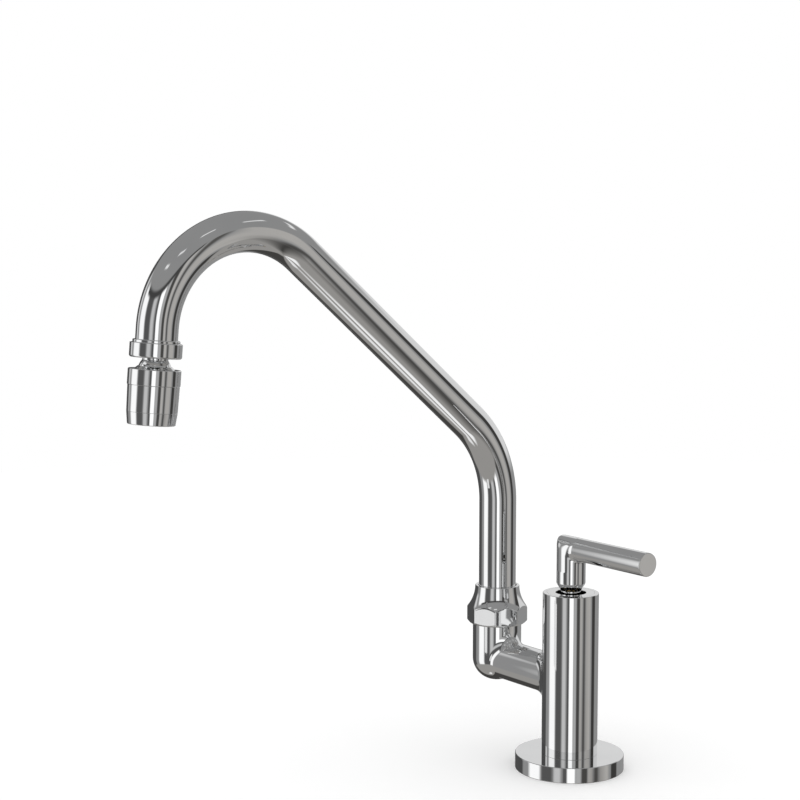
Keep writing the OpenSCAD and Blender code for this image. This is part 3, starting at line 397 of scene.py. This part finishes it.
def leg_trace(phi):
    ball, reach, drop = leg_ball(phi)
    angle = np.arctan2(reach - (LEG_R - ELBOW), drop)
    s = np.where(drop > 0, ELBOW * angle, ARC_LENGTH + ball[:, 2] - LEG_FOOT_Z - ELBOW)
    across = np.arctan2(ball[:, 1], ball[:, 0] - LEG_X) / (math.pi / 2)
    along = (s - (LEG_LOW + LEG_HIGH) / 2) / ((LEG_HIGH - LEG_LOW) / 2)
    return across, along


def root_fillet(skin, ball, arm_phi, wall_normal, rounding, steps=16):
    """The rounded root between the arm and a wall, rolled by a ball."""
    arm_normal = np.stack([np.zeros_like(arm_phi), np.sin(arm_phi), np.cos(arm_phi)], -1)
    spread_angle = np.arccos(np.clip((arm_normal * wall_normal).sum(-1), -1, 1))[:, None]
    rows = []
    for k in range(steps + 1):
        t = k / steps
        mixed = np.sin((1 - t) * spread_angle) * arm_normal + np.sin(t * spread_angle) * wall_normal
        rows.append(mixed / np.sin(spread_angle))
    normals = np.array(rows)
    skin.patch(ball - rounding * normals, normals)


body = Skin()
# Column: the half that carries the arm, with the arm's root cut out of a square
phi_column = root_angles(column_trace, EDGE)
loop = np.stack(column_trace(phi_column), -1)
weights = np.linspace(0, 1, 7)[:, None, None]
square = loop * (1 - weights) + EDGE * weights
mid, half_height = (COLUMN_LOW + COLUMN_HIGH) / 2, (COLUMN_HIGH - COLUMN_LOW) / 2
round_column = -square[..., 0] * math.pi / 2
body.patch(COLUMN_AXIS.place(BODY_R, mid + square[..., 1] * half_height, round_column),
           COLUMN_AXIS.aim(1.0, 0.0, round_column))
ball = column_ball(phi_column)
wall = unit(ball * [1, 1, 0])
root_fillet(body, ball, phi_column, wall, COLUMN_ROOT)
rows = mid + np.linspace(-1, 1, 2 * HALF + 1)[:, None] * half_height
body.patch(COLUMN_AXIS.place(BODY_R, rows, BACK[None, :]), COLUMN_AXIS.aim(1.0, 0.0, BACK[None, :]))
# Column: turned below and above the arm, with its foot, cover seat and bores
turned(body, runs_of(SHANK_SOCKET + [
    (SPIGOT_R, FOOT_Z), (SPIGOT_R, FLANGE_T), (BODY_R, FLANGE_T, 0.15), (BODY_R, COLUMN_LOW)],
    closed=False), COLUMN_AXIS, RING)
turned(body, runs_of([
    (BODY_R, COLUMN_HIGH), (BODY_R, BODY_TOP, 0.35), (COVER_R + SLIP, BODY_TOP, 0.06),
    (COVER_R + SLIP, BODY_TOP - COVER_T)] + CARTRIDGE_BORE, closed=False), COLUMN_AXIS, RING)
# Leg: the half that carries the arm, then the rest of the turned form
phi_leg = root_angles(leg_trace, EDGE)
loop = np.stack(leg_trace(phi_leg), -1)
square = loop * (1 - weights) + EDGE * weights
s_mid, s_half = (LEG_LOW + LEG_HIGH) / 2, (LEG_HIGH - LEG_LOW) / 2
r, z, nr, nz = leg_at(s_mid + square[..., 1] * s_half)
body.patch(LEG_AXIS.place(r, z, square[..., 0] * math.pi / 2),
           LEG_AXIS.aim(nr, nz, square[..., 0] * math.pi / 2))
ball, reach, drop = leg_ball(phi_leg)
foot_angle = np.arctan2(reach - (LEG_R - ELBOW), drop)
out = unit((ball - [LEG_X, 0, 0]) * [1, 1, 0])
wall = out * np.sin(foot_angle)[:, None] - np.array([0, 0, 1]) * np.cos(foot_angle)[:, None]
root_fillet(body, ball, phi_leg, wall, LEG_ROOT)
r, z, nr, nz = leg_at(s_mid + np.linspace(-1, 1, 2 * HALF + 1)[:, None] * s_half)
body.patch(LEG_AXIS.place(r, z, BACK[None, :]), LEG_AXIS.aim(nr, nz, BACK[None, :]))
r, z, nr, nz = leg_at(np.linspace(0, LEG_LOW, 3)[:, None])
body.patch(LEG_AXIS.place(r, z, RING[None, :]), LEG_AXIS.aim(nr, nz, RING[None, :]))
turned(body, runs_of([(0, LEG_FOOT_Z), (LEG_R - ELBOW, LEG_FOOT_Z)], closed=False), LEG_AXIS, RING)
turned(body, runs_of(
    [(LEG_R, leg_at(LEG_HIGH)[1]), (LEG_R, LEG_TOP, 0.3)] + LEG_SPIGOT + SWIVEL_BORE,
    closed=False), LEG_AXIS, RING)
# Arm between the two roots
t = np.linspace(0, 1, 13)[:, None]
phi = phi_column * (1 - t) + phi_leg * t
x = column_ball(phi_column)[:, 0] * (1 - t) + leg_ball(phi_leg)[0][:, 0] * t
body.patch(np.stack([x, ARM_R * np.sin(phi), ARM_Z + ARM_R * np.cos(phi)], -1),
           np.stack([0 * x, np.sin(phi), np.cos(phi)], -1))
body.build("valve_body_form", "base", "chrome_plate", ["valve_body"])


# ---------------------------------------------------------------- handle
CROWN_EDGE, LEVER_BLEND, BLEND_FADE, BLEND_LEAST = 1.2, 1.5, 4.0, 0.001
STEM_LOW, TAPER_TOP, NECK_TOP, STEM_BORE_R, STEM_BORE_TOP = 104.0, 97.7, 94.0, 4.05, 102.2
LEVER_GAP = 0.02


def handle_field(p):
    x, y, z = p[..., 0], p[..., 1], p[..., 2]
    post = np.hypot(x, y) - STEM_R
    crown = np.where(z > CROWN_Z, np.hypot(y, z - CROWN_Z), np.abs(y)) - STEM_R
    lever = np.maximum(np.hypot(y, z - LEVER_Z) - LEVER_R, -x)
    # The rounding between stem and lever fades out towards their flush tops
    fade = np.clip((LEVER_Z + LEVER_R - z) / BLEND_FADE, 0, 1)
    blend = LEVER_BLEND * fade ** 2 * (3 - 2 * fade) + BLEND_LEAST
    return smooth_min(smooth_max(post, crown, CROWN_EDGE), lever, blend)


stem = Skin()
phi = np.linspace(0, 2 * math.pi, AROUND + 1)
c, s = np.cos(phi), np.sin(phi)
start = np.stack([np.full_like(c, BOSS_X), LEVER_R * s, LEVER_Z + LEVER_R * c], -1)
corner = np.stack([-STEM_R * c, (STEM_R + LEVER_R) / 2 * s, LEVER_Z + LEVER_R * c], -1)
finish = np.stack([-STEM_R * c, STEM_R * s, np.full_like(c, STEM_LOW)], -1)
ease = np.sin(np.linspace(0, math.pi / 2, 37))[:, None, None]
from_lever, from_foot = start * (1 - ease) + corner * ease, finish * (1 - ease) + corner * ease
points = np.concatenate([from_lever, from_foot[-2::-1]])
inner, normals = settle(handle_field, points[1:-1])
post_normal = np.stack([-c, s, 0 * c], -1)
bar_normal = np.stack([0 * c, s, c], -1)
stem.patch(np.concatenate([start[None], inner, finish[None]]),
           np.concatenate([bar_normal[None], normals, post_normal[None]]))
lever_axis = Axis(origin=(0, 0, LEVER_Z), up=(1, 0, 0), zero=(0, 0, 1))
turned(stem, runs_of([(LEVER_R, BOSS_X), (0, BOSS_X)], closed=False), lever_axis, -phi)
stem_axis = Axis(zero=(-1, 0, 0))
turned(stem, runs_of([
    (0, STEM_BORE_TOP), (STEM_BORE_R, STEM_BORE_TOP), (STEM_BORE_R, NECK_LOW), (NECK_R, NECK_LOW),
    (NECK_R, NECK_TOP, 0.5), (STEM_R, TAPER_TOP, 2.0), (STEM_R, STEM_LOW)],
    closed=False, steps=8), stem_axis, -phi)
stem.build("handle_stem_form", "handle", "chrome_plate", ["handle_stem"])
lathe("lever_bar_form", "handle", "chrome_plate", ["lever_bar"], [
    (0, BOSS_X + LEVER_GAP), (LEVER_R, BOSS_X + LEVER_GAP), (LEVER_R, LEVER_END, 0.5), (0, LEVER_END)],
    lever_axis, closed=False)

# ---------------------------------------------------------------- coupling nut
NUT_LOW, BEVEL_W, BEVEL_H, NUT_TURN, NUT_EDGE = LEG_TOP, 1.8, 1.2, 2.6, 0.3
NUT_CORNER_R = NUT_FLAT_R / math.cos(math.pi / 8)
FLARE_RUN, FLARE_RISE = NUT_CORNER_R - NUT_RIM_R, NUT_TOP - NUT_CORNER_Z
FLARE_R = (FLARE_RUN ** 2 + FLARE_RISE ** 2) / (2 * FLARE_RUN)
BEVEL_N = unit([BEVEL_H, -BEVEL_W])
RIM_ROUND, RIM_STEPS, NUT_MOUTH_R, NUT_THREAD_R = 0.3, 5, 10.6, 12.55
# Distances from an edge at which the nut's mesh has a row of points
NEAR_ROW, FAR_ROW = 0.2, 0.5


def nut_field(r, theta, z):
    """How far a point lies outside the nut, its edges rounded."""
    turn = theta - math.radians(NUT_TURN)
    flats = np.stack([r * np.cos(turn - math.radians(22.5 + 45 * k)) for k in range(8)], -1)
    top = np.sort(flats, -1)
    sides = smooth_max(top[..., -1], top[..., -2], NUT_EDGE) - NUT_FLAT_R
    flare = FLARE_R - np.hypot(r - NUT_RIM_R - FLARE_R, z - NUT_TOP)
    bevel = (r - NUT_CORNER_R + BEVEL_W) * BEVEL_N[0] + (z - NUT_LOW) * BEVEL_N[1]
    return smooth_max(smooth_max(sides, flare, NUT_EDGE), bevel, NUT_EDGE)


def nut_cartesian(p):
    x, y = p[..., 0] - LEG_X, p[..., 1]
    return nut_field(np.hypot(x, y), np.arctan2(y, x), p[..., 2])


nut = Skin()
near = np.radians([-22.5, -21.9, -21.2, -20.2, -18.5, -16, -13, -10, -7, -4, -1.5, 0])
sector = np.concatenate([near, -near[-2::-1]])
theta = np.concatenate([math.radians(NUT_TURN + 22.5 + 45 * k) + sector[:-1] for k in range(8)])
theta = np.append(theta, theta[0] + 2 * math.pi)
flat = NUT_FLAT_R / np.cos((theta - math.radians(NUT_TURN)) % (math.pi / 4) - math.pi / 8)
z_bevel = NUT_LOW + (flat - NUT_CORNER_R + BEVEL_W) * BEVEL_H / BEVEL_W
z_bevel = np.maximum(z_bevel, NUT_LOW + 0.05)
z_flare = NUT_TOP - np.sqrt(FLARE_R ** 2 - (NUT_RIM_R + FLARE_R - flat) ** 2)
stations = [
    np.full_like(theta, NUT_LOW), NUT_LOW + (z_bevel - NUT_LOW) * 0.6,
    z_bevel, z_bevel + NEAR_ROW, z_bevel + FAR_ROW]
stations += [z_bevel + FAR_ROW + (z_flare - z_bevel - 2 * FAR_ROW) * k / 6 for k in range(1, 7)]
stations += [z_flare - NEAR_ROW, z_flare, z_flare + NEAR_ROW, z_flare + FAR_ROW]
stations += [
    z_flare + FAR_ROW + (NUT_TOP - RIM_ROUND - z_flare - FAR_ROW) * k / 16 for k in range(1, 17)]
z = np.array(stations)
low_r, high_r = np.full_like(z, 11.0), np.full_like(z, 17.5)
for _ in range(40):
    middle = (low_r + high_r) / 2
    outside = nut_field(middle, theta[None, :], z) > 0
    low_r, high_r = np.where(outside, low_r, middle), np.where(outside, middle, high_r)
r = (low_r + high_r) / 2
points = np.stack([LEG_X + r * np.cos(theta), r * np.sin(theta), z], -1)
nut.patch(points, slope(nut_cartesian, points))
rim_r = r[-1]
rim_out = np.stack([np.cos(theta), np.sin(theta), 0 * theta], -1)
up = np.array([0, 0, 1.0])
rim_rows, rim_normals = [], []
for k in range(RIM_STEPS + 1):
    bend = math.pi / 2 * k / RIM_STEPS
    rim_reach = rim_r[:, None] - RIM_ROUND + RIM_ROUND * math.cos(bend)
    rim_z = NUT_TOP - RIM_ROUND + RIM_ROUND * math.sin(bend)
    rim_rows.append(np.array([LEG_X, 0, 0]) + rim_out * rim_reach + up * rim_z)
    rim_normals.append(rim_out * math.cos(bend) + up * math.sin(bend))
nut.patch(np.array(rim_rows), np.array(rim_normals))
flat_top = np.array([rim_rows[-1], LEG_AXIS.place(NUT_MOUTH_R, NUT_TOP, theta)])
nut.patch(flat_top, np.broadcast_to(up, flat_top.shape))
turned(nut, runs_of([
    (NUT_MOUTH_R, NUT_TOP), (10.3, NUT_TOP - 0.3), (10.3, 77.9), (11.4, 77.9), (11.4, 76.2),
    (NUT_THREAD_R, 76.2), (NUT_THREAD_R, NUT_LOW)], closed=False), LEG_AXIS, theta)
under = np.array([LEG_AXIS.place(NUT_THREAD_R, NUT_LOW, theta), points[0]])
nut.patch(under, np.broadcast_to(-up, under.shape))
nut.build("coupling_nut_form", "base", "chrome_plate", ["coupling_nut"])

# ---------------------------------------------------------------- spout tube
TUBE_LOW, RISER_LENGTH, FIRST_BEND_R, LEAN_LENGTH = 79.4, 53.7, 58.6, 137.8
HOOK_R, TUBE_TAIL = 49.0, 10.0


def spout_point(u, v):
    return np.array([LEG_X, -u, v])


def spout_path():
    """Points and directions along the tube's axis, angles measured from straight up."""
    stations = []

    def straight(start, angle, length, count):
        for k in range(count + 1):
            d = np.array([math.sin(angle), math.cos(angle)])
            stations.append((start + d * length * k / count, angle))
        return stations[-1][0]

    def bend(start, radius, a, b, step):
        centre = start + radius * np.array([math.cos(a), -math.sin(a)])
        count = int(round(math.degrees(b - a) / step))
        for k in range(1, count + 1):
            angle = a + (b - a) * k / count
            outward = np.array([-math.cos(angle), math.sin(angle)])
            stations.append((centre + radius * outward, angle))
        return stations[-1][0]

    lean, outlet = math.radians(LEAN), math.radians(OUTLET_ANGLE)
    here = straight(np.array([0.0, TUBE_LOW]), 0.0, RISER_LENGTH, 6)
    here = bend(here, FIRST_BEND_R, 0.0, lean, 1.6)
    here = straight(here, lean, LEAN_LENGTH, 12)
    here = bend(here, HOOK_R, lean, outlet, 1.2)
    stations.append((here + TUBE_TAIL * np.array([math.sin(outlet), math.cos(outlet)]), outlet))
    return stations, here


STATIONS, HOOK_END = spout_path()
tube = Skin()
phi = np.linspace(0, 2 * math.pi, 129)
for radius, sign in ((TUBE_R, 1.0), (TUBE_BORE_R, -1.0)):
    rows, normals = [], []
    for (u, v), angle in STATIONS:
        across = np.array([0, -math.cos(angle), -math.sin(angle)])
        side = np.array([1.0, 0, 0])
        out = np.cos(phi)[:, None] * across + np.sin(phi)[:, None] * side
        rows.append(spout_point(u, v) + radius * out)
        normals.append(sign * out)
    tube.patch(np.array(rows), np.array(normals))
    if sign > 0:
        outer_rows = rows
for end, sign in ((0, -1.0), (-1, 1.0)):
    angle = STATIONS[end][1]
    along = np.array([0, -math.sin(angle), math.cos(angle)]) * sign
    rim = np.array([outer_rows[end], rows[end]])
    tube.patch(rim, np.broadcast_to(along, rim.shape))
tube.build("spout_tube_form", "spout", "chrome_plate", ["spout_tube"])

# ---------------------------------------------------------------- outlet
outlet = math.radians(OUTLET_ANGLE)
OUTLET = Axis(
    origin=spout_point(*HOOK_END), up=(0, -math.sin(outlet), math.cos(outlet)), zero=(1, 0, 0))
# Heights of the outlet's pieces run along its axis from the end of the hook
BALL_S, BALL_RADIUS, STUD_NECK_R, STUD_BORE_R = 20.2, 8.0, 6.1, 3.0
lathe("spout_collar_form", "spout", "chrome_plate", ["spout_collar"], [
    (10.05, 5.5), (11.2, 5.5, 0.5), (11.2, 7.0, 0.15), (12.4, 7.0, 0.3), (12.4, 14.0, 1.0),
    (5.1, 14.0), (5.1, 12.0), (8.2, 12.0), (8.2, 10.0), (10.05, 10.0)], OUTLET, around=128)
neck_meet = BALL_S - math.sqrt(BALL_RADIUS ** 2 - STUD_NECK_R ** 2)
ball_end = BALL_S + math.sqrt(BALL_RADIUS ** 2 - STUD_BORE_R ** 2)
stud = Skin()
turned(stud, runs_of([
    (STUD_BORE_R, ball_end), (STUD_BORE_R, 10.25), (4.0, 10.25, 0.2), (4.0, 11.95), (5.0, 11.95, 0.2),
    (5.0, 14.05), (STUD_NECK_R, 14.05, 0.1), (STUD_NECK_R, neck_meet)], closed=False), OUTLET)
ball_start = math.acos((BALL_S - neck_meet) / BALL_RADIUS)
theta = np.linspace(ball_start, math.pi - math.asin(STUD_BORE_R / BALL_RADIUS), 25)
arc = np.stack([BALL_RADIUS * np.sin(theta), BALL_S - BALL_RADIUS * np.cos(theta),
                np.sin(theta), -np.cos(theta)], -1)
turned(stud, [arc], OUTLET)
stud.build("ball_stud_form", "ball", "chrome_plate", ["ball_stud"])
lathe("aerator_cap_form", "aerator", "chrome_plate", ["aerator_cap"], [
    (7.744, 18.0), (8.094, 18.0, 0.1), (9.494, 19.2, 0.2), (12.5, 19.2, 0.5), (12.5, 26.8, 0.2),
    (11.2, 26.8), (11.2, 20.4), (8.05, 20.4), (7.98, 19.1)], OUTLET, around=128)
lathe("aerator_shell_form", "aerator", "chrome_plate", ["aerator_shell"], [
    (9.15, 20.6), (11.15, 20.6), (11.15, 26.82), (12.25, 26.82, 0.2), (12.0, 39.4, 0.12),
    (10.9, 39.4), (10.9, 29.0), (6.5, 29.0), (6.5, 27.0), (9.15, 27.0)], OUTLET, around=128)
lathe("nozzle_ring_form", "aerator", "chrome_plate", ["nozzle_ring"], [
    (9.70, 31.2), (10.85, 31.2), (10.85, 39.42), (12.0, 39.42, 0.12), (11.3, 45.4, 0.4),
    (8.8, 45.4, 0.3), (8.8, 43.9), (9.70, 43.9)], OUTLET, around=128)

# ---------------------------------------------------------------- shank
PITCH, THREAD_DEPTH, SHANK_R, SHANK_LOW, ROWS_PER_TURN = 1.814, 1.1, 10.4775, -58.0, 8
# Steepness and offset that flatten the thread's crests and roots
CREST_GAIN, CREST_DROP = 1.35, 0.17
GROOVE_LOW, GROOVE_HIGH, GROOVE_DEPTH, THREAD_TOP = -44.0, -42.0, 1.2, -0.4
SHANK_NECK_R, SHANK_TOP, SHANK_BORE_R = 9.0, 14.6, 5.5
shank = Skin()
columns = np.linspace(0, 2 * math.pi, AROUND + 1)


def thread_radius(phase, z):
    """Radius of the thread: flat-topped waves with a groove, and a bevel at the low end."""
    crest = np.clip(CREST_GAIN * (1 - np.abs(2 * (phase % 1) - 1)) - CREST_DROP, 0, 1)
    r = SHANK_R - THREAD_DEPTH * (1 - crest)
    groove = (z > GROOVE_LOW) & (z < GROOVE_HIGH)
    r = np.where(groove, SHANK_R - GROOVE_DEPTH, r)
    return np.minimum(r, SHANK_R - THREAD_DEPTH + np.maximum(z - SHANK_LOW, 0))


turns = int(math.ceil((FOOT_Z - SHANK_LOW) / PITCH)) + 2
steps = np.arange(turns * ROWS_PER_TURN + 1)[:, None]
z = SHANK_LOW - PITCH + (steps / ROWS_PER_TURN + columns[None, :] / (2 * math.pi)) * PITCH
phase = np.broadcast_to(steps / ROWS_PER_TURN, z.shape)
z_kept = np.clip(z, SHANK_LOW, FOOT_Z)
r = thread_radius(phase, z_kept)
r = np.where(z < SHANK_LOW, SHANK_R - THREAD_DEPTH, r)
r = np.where(z_kept > THREAD_TOP, np.minimum(r, SHANK_R - THREAD_DEPTH), r)
points = UPRIGHT.place(r, z_kept, columns[None, :])
shank.patch(points, UPRIGHT.aim(1.0, 0.0, np.broadcast_to(columns[None, :], z.shape)))
turned(shank, runs_of([
    (SHANK_R - THREAD_DEPTH, FOOT_Z), (SHANK_NECK_R, FOOT_Z), (SHANK_NECK_R, SHANK_TOP),
    (SHANK_BORE_R, SHANK_TOP), (SHANK_BORE_R, SHANK_LOW, 0.4), (SHANK_R - THREAD_DEPTH, SHANK_LOW)],
    closed=False), UPRIGHT, columns)
shank.build("inlet_shank_form", "base", "brass", ["inlet_shank"])

# ---------------------------------------------------------------- studio, floor and camera
# The dome, the card and the floor are in metres
CAMERA_AZ, CAMERA_PITCH, FOCAL_PX = 53.90151, 5.871985, 1772.455
CAMERA_AT = np.array([676.362, -602.5145, 285.361]) * MM
SENSOR, FRAME_PX = 36.0, 800
FACING = math.atan2(CAMERA_AT[1], CAMERA_AT[0])
DOME_R, DOME_RISE = 1.5, 0.1
FLOOR_R, FLOOR_SIDES, CAMERA_LIFT = 1.2, 128, 0.05

WHITE, WARM = (1.0, 1.0, 1.0), (1.0, 0.97, 0.93)
ROOM_LEVEL = 0.30
# What the chrome mirrors. Each card has its azimuth to the right of the camera, its width, its
# elevation and height, the width of its soft edge, its level and its tint. A later card covers
# an earlier one.
CARDS = {
    "rear_wall": (180, 150, 15, 26, 6, 0.75, WHITE),
    "left_rear_flag": (-140, 50, -5, 70, 6, 0.08, WHITE),
    "left_softbox": (-78, 30, 0, 60, 8, 1.15, WHITE),
    "left_flag": (-48, 26, 0, 60, 8, 0.10, WHITE),
    "left_gauze": (-25, 14, 0, 60, 5, 0.60, WHITE),
    "camera_flag": (-9, 8, 0, 60, 3, 0.10, WHITE),
    "front_strip": (4, 16, 0, 60, 3, 1.25, WHITE),
    "front_gauze": (19, 10, 0, 60, 4, 0.45, WHITE),
    "right_flag": (32, 12, 0, 60, 3, 0.07, WARM),
    "right_gauze": (45, 10, 0, 60, 4, 0.50, WARM),
    "right_stand": (58, 8, 0, 60, 4, 0.10, WARM),
    "right_softbox": (78, 24, 0, 60, 6, 0.46, WARM),
    "right_rear_flag": (108, 20, 0, 56, 4, 0.05, WARM),
    "roof_scrim": (0, 360, 62, 64, 3, 0.29, WHITE),
    "roof_rail": (-15, 130, 29, 5, 2, 0.06, WHITE),
    "tube_a": (-40, 16, 48, 3, 1.5, 0.90, WHITE),
    "tube_b": (-10, 18, 56, 3, 1.5, 0.90, WHITE),
    "tube_c": (30, 24, 64, 3, 1.5, 0.90, WHITE),
    "tube_d": (90, 30, 58, 3, 1.5, 0.90, WHITE),
    "tube_e": (140, 30, 46, 3, 1.5, 0.90, WHITE),
    "table": (0, 360, -60, 64, 4, 0.34, WARM),
    "table_shade_right": (58, 26, -50, 60, 24, 0.06, WARM),
    "table_runner": (-5, 44, -78, 22, 6, 1.05, WHITE),
    "table_runner_thin": (-80, 40, -78, 22, 4, 0.90, WHITE),
    "table_shade_left": (-155, 50, -55, 54, 6, 0.06, WARM),
}
# A small white card above the table, in front of the nut: its centre, half its width and height
NUT_CARD_AT, NUT_CARD_HALF = np.array([-67.0, -250.0, 14.0]) * MM, (0.028, 0.022)
NUT_CARD_LEVEL = 0.85


def card_share(offset, size, soft):
    """1 inside a card, 0 outside it, with a soft edge between."""
    return np.clip(0.5 + (size / 2 - np.abs(offset)) / soft, 0, 1)


def studio_colours(azimuth, elevation):
    """The light from each direction: the room's level, with the cards set in it in turn."""
    colours = np.full(azimuth.shape + (3,), ROOM_LEVEL)
    for across, width, up_at, height, soft, level, tint in CARDS.values():
        turn = (azimuth - across + 180) % 360 - 180
        sideways = card_share(turn, width, soft) if width < 360 else 1.0
        share = (sideways * card_share(elevation - up_at, height, soft))[..., None]
        colours = colours * (1 - share) + level * np.array(tint) * share
    return colours


def studio_dome():
    """A dome that only reflections show, lit as the cards say."""
    azimuth, elevation = np.meshgrid(np.arange(-180.0, 181.0), np.arange(-90.0, 91.0))
    az, el = np.radians(azimuth) + FACING, np.radians(elevation)
    points = DOME_R * np.stack([np.cos(el) * np.cos(az), np.cos(el) * np.sin(az), np.sin(el)], -1)
    points += np.array([0, 0, DOME_RISE])
    rows, cols = az.shape
    index = np.arange(rows * cols).reshape(rows, cols)
    quads = np.stack([index[:-1, :-1], index[:-1, 1:], index[1:, 1:], index[1:, :-1]], -1)
    mesh = bpy.data.meshes.new("studio_dome")
    mesh.from_pydata(points.reshape(-1, 3), [], quads.reshape(-1, 4).tolist())
    light = mesh.color_attributes.new("light", "FLOAT_COLOR", "POINT")
    colours = np.concatenate([studio_colours(azimuth, elevation), np.ones((rows, cols, 1))], -1)
    light.data.foreach_set("color", colours.reshape(-1))
    hang("studio_dome", mesh)


def nut_card():
    """The card that the nut's front left flat mirrors."""
    wide, high = NUT_CARD_HALF
    corners = [(-wide, 0, -high), (wide, 0, -high), (wide, 0, high), (-wide, 0, high)]
    mesh = bpy.data.meshes.new("nut_card")
    mesh.from_pydata([NUT_CARD_AT + np.array(corner) for corner in corners], [], [(0, 1, 2, 3)])
    light = mesh.color_attributes.new("light", "FLOAT_COLOR", "POINT")
    light.data.foreach_set("color", [*[NUT_CARD_LEVEL] * 3, 1.0] * len(corners))
    hang("nut_card", mesh)


def hang(name, mesh):
    """Puts a lit card in the studio, seen by reflections alone."""
    mat = bpy.data.materials.new(name)
    mat.use_nodes = True
    nodes, links = mat.node_tree.nodes, mat.node_tree.links
    nodes.clear()
    attribute = nodes.new("ShaderNodeAttribute")
    attribute.attribute_name = "light"
    emission = nodes.new("ShaderNodeEmission")
    output = nodes.new("ShaderNodeOutputMaterial")
    links.new(attribute.outputs["Color"], emission.inputs["Color"])
    links.new(emission.outputs["Emission"], output.inputs["Surface"])
    mesh.materials.append(mat)
    obj = bpy.data.objects.new(name, mesh)
    bpy.context.scene.collection.objects.link(obj)
    obj.visible_camera = obj.visible_diffuse = obj.visible_shadow = obj.visible_transmission = False


studio_dome()
nut_card()

floor_mesh = bpy.data.meshes.new("floor")
floor_angles = np.linspace(0, 2 * math.pi, FLOOR_SIDES + 1)[:-1]
ring = [(FLOOR_R * math.cos(a), FLOOR_R * math.sin(a), 0.0) for a in floor_angles]
floor_mesh.from_pydata(ring, [], [list(range(FLOOR_SIDES))])
floor_mat, nodes, links, bsdf = material("floor_white")
bsdf.inputs["Base Color"].default_value = (1.0, 1.0, 1.0, 1)
bsdf.inputs["Roughness"].default_value = 1.0
bsdf.inputs["Specular IOR Level"].default_value = 0.0
# The camera sees the floor a little paler than it is lit, so that it joins the white behind it
light_path = nodes.new("ShaderNodeLightPath")
camera_lift = spread(nodes, links, light_path.outputs["Is Camera Ray"], 0.0, CAMERA_LIFT)
bsdf.inputs["Emission Color"].default_value = (1, 1, 1, 1)
links.new(camera_lift.outputs["Result"], bsdf.inputs["Emission Strength"])
floor_mesh.materials.append(floor_mat)
floor = bpy.data.objects.new("floor", floor_mesh)
bpy.context.scene.collection.objects.link(floor)
floor.visible_glossy = False

scene = bpy.context.scene
scene.view_settings.view_transform = "Standard"
world = bpy.data.worlds.new("studio")
scene.world = world
world.use_nodes = True
background = world.node_tree.nodes["Background"]
background.inputs["Color"].default_value = (1, 1, 1, 1)
background.inputs["Strength"].default_value = 1.0

az, pitch = math.radians(CAMERA_AZ), math.radians(CAMERA_PITCH)
forward = Vector((
    -math.sin(az) * math.cos(pitch), math.cos(az) * math.cos(pitch), -math.sin(pitch)))
right = Vector((math.cos(az), math.sin(az), 0))
above = right.cross(forward)
lens = bpy.data.cameras.new("camera")
lens.sensor_width = SENSOR
lens.lens = FOCAL_PX * SENSOR / FRAME_PX
lens.clip_start, lens.clip_end = 0.01, 20
camera = bpy.data.objects.new("camera", lens)
camera.matrix_world = Matrix((
    (right.x, above.x, -forward.x, CAMERA_AT[0]), (right.y, above.y, -forward.y, CAMERA_AT[1]),
    (right.z, above.z, -forward.z, CAMERA_AT[2]), (0, 0, 0, 1)))
scene.collection.objects.link(camera)
scene.camera = camera
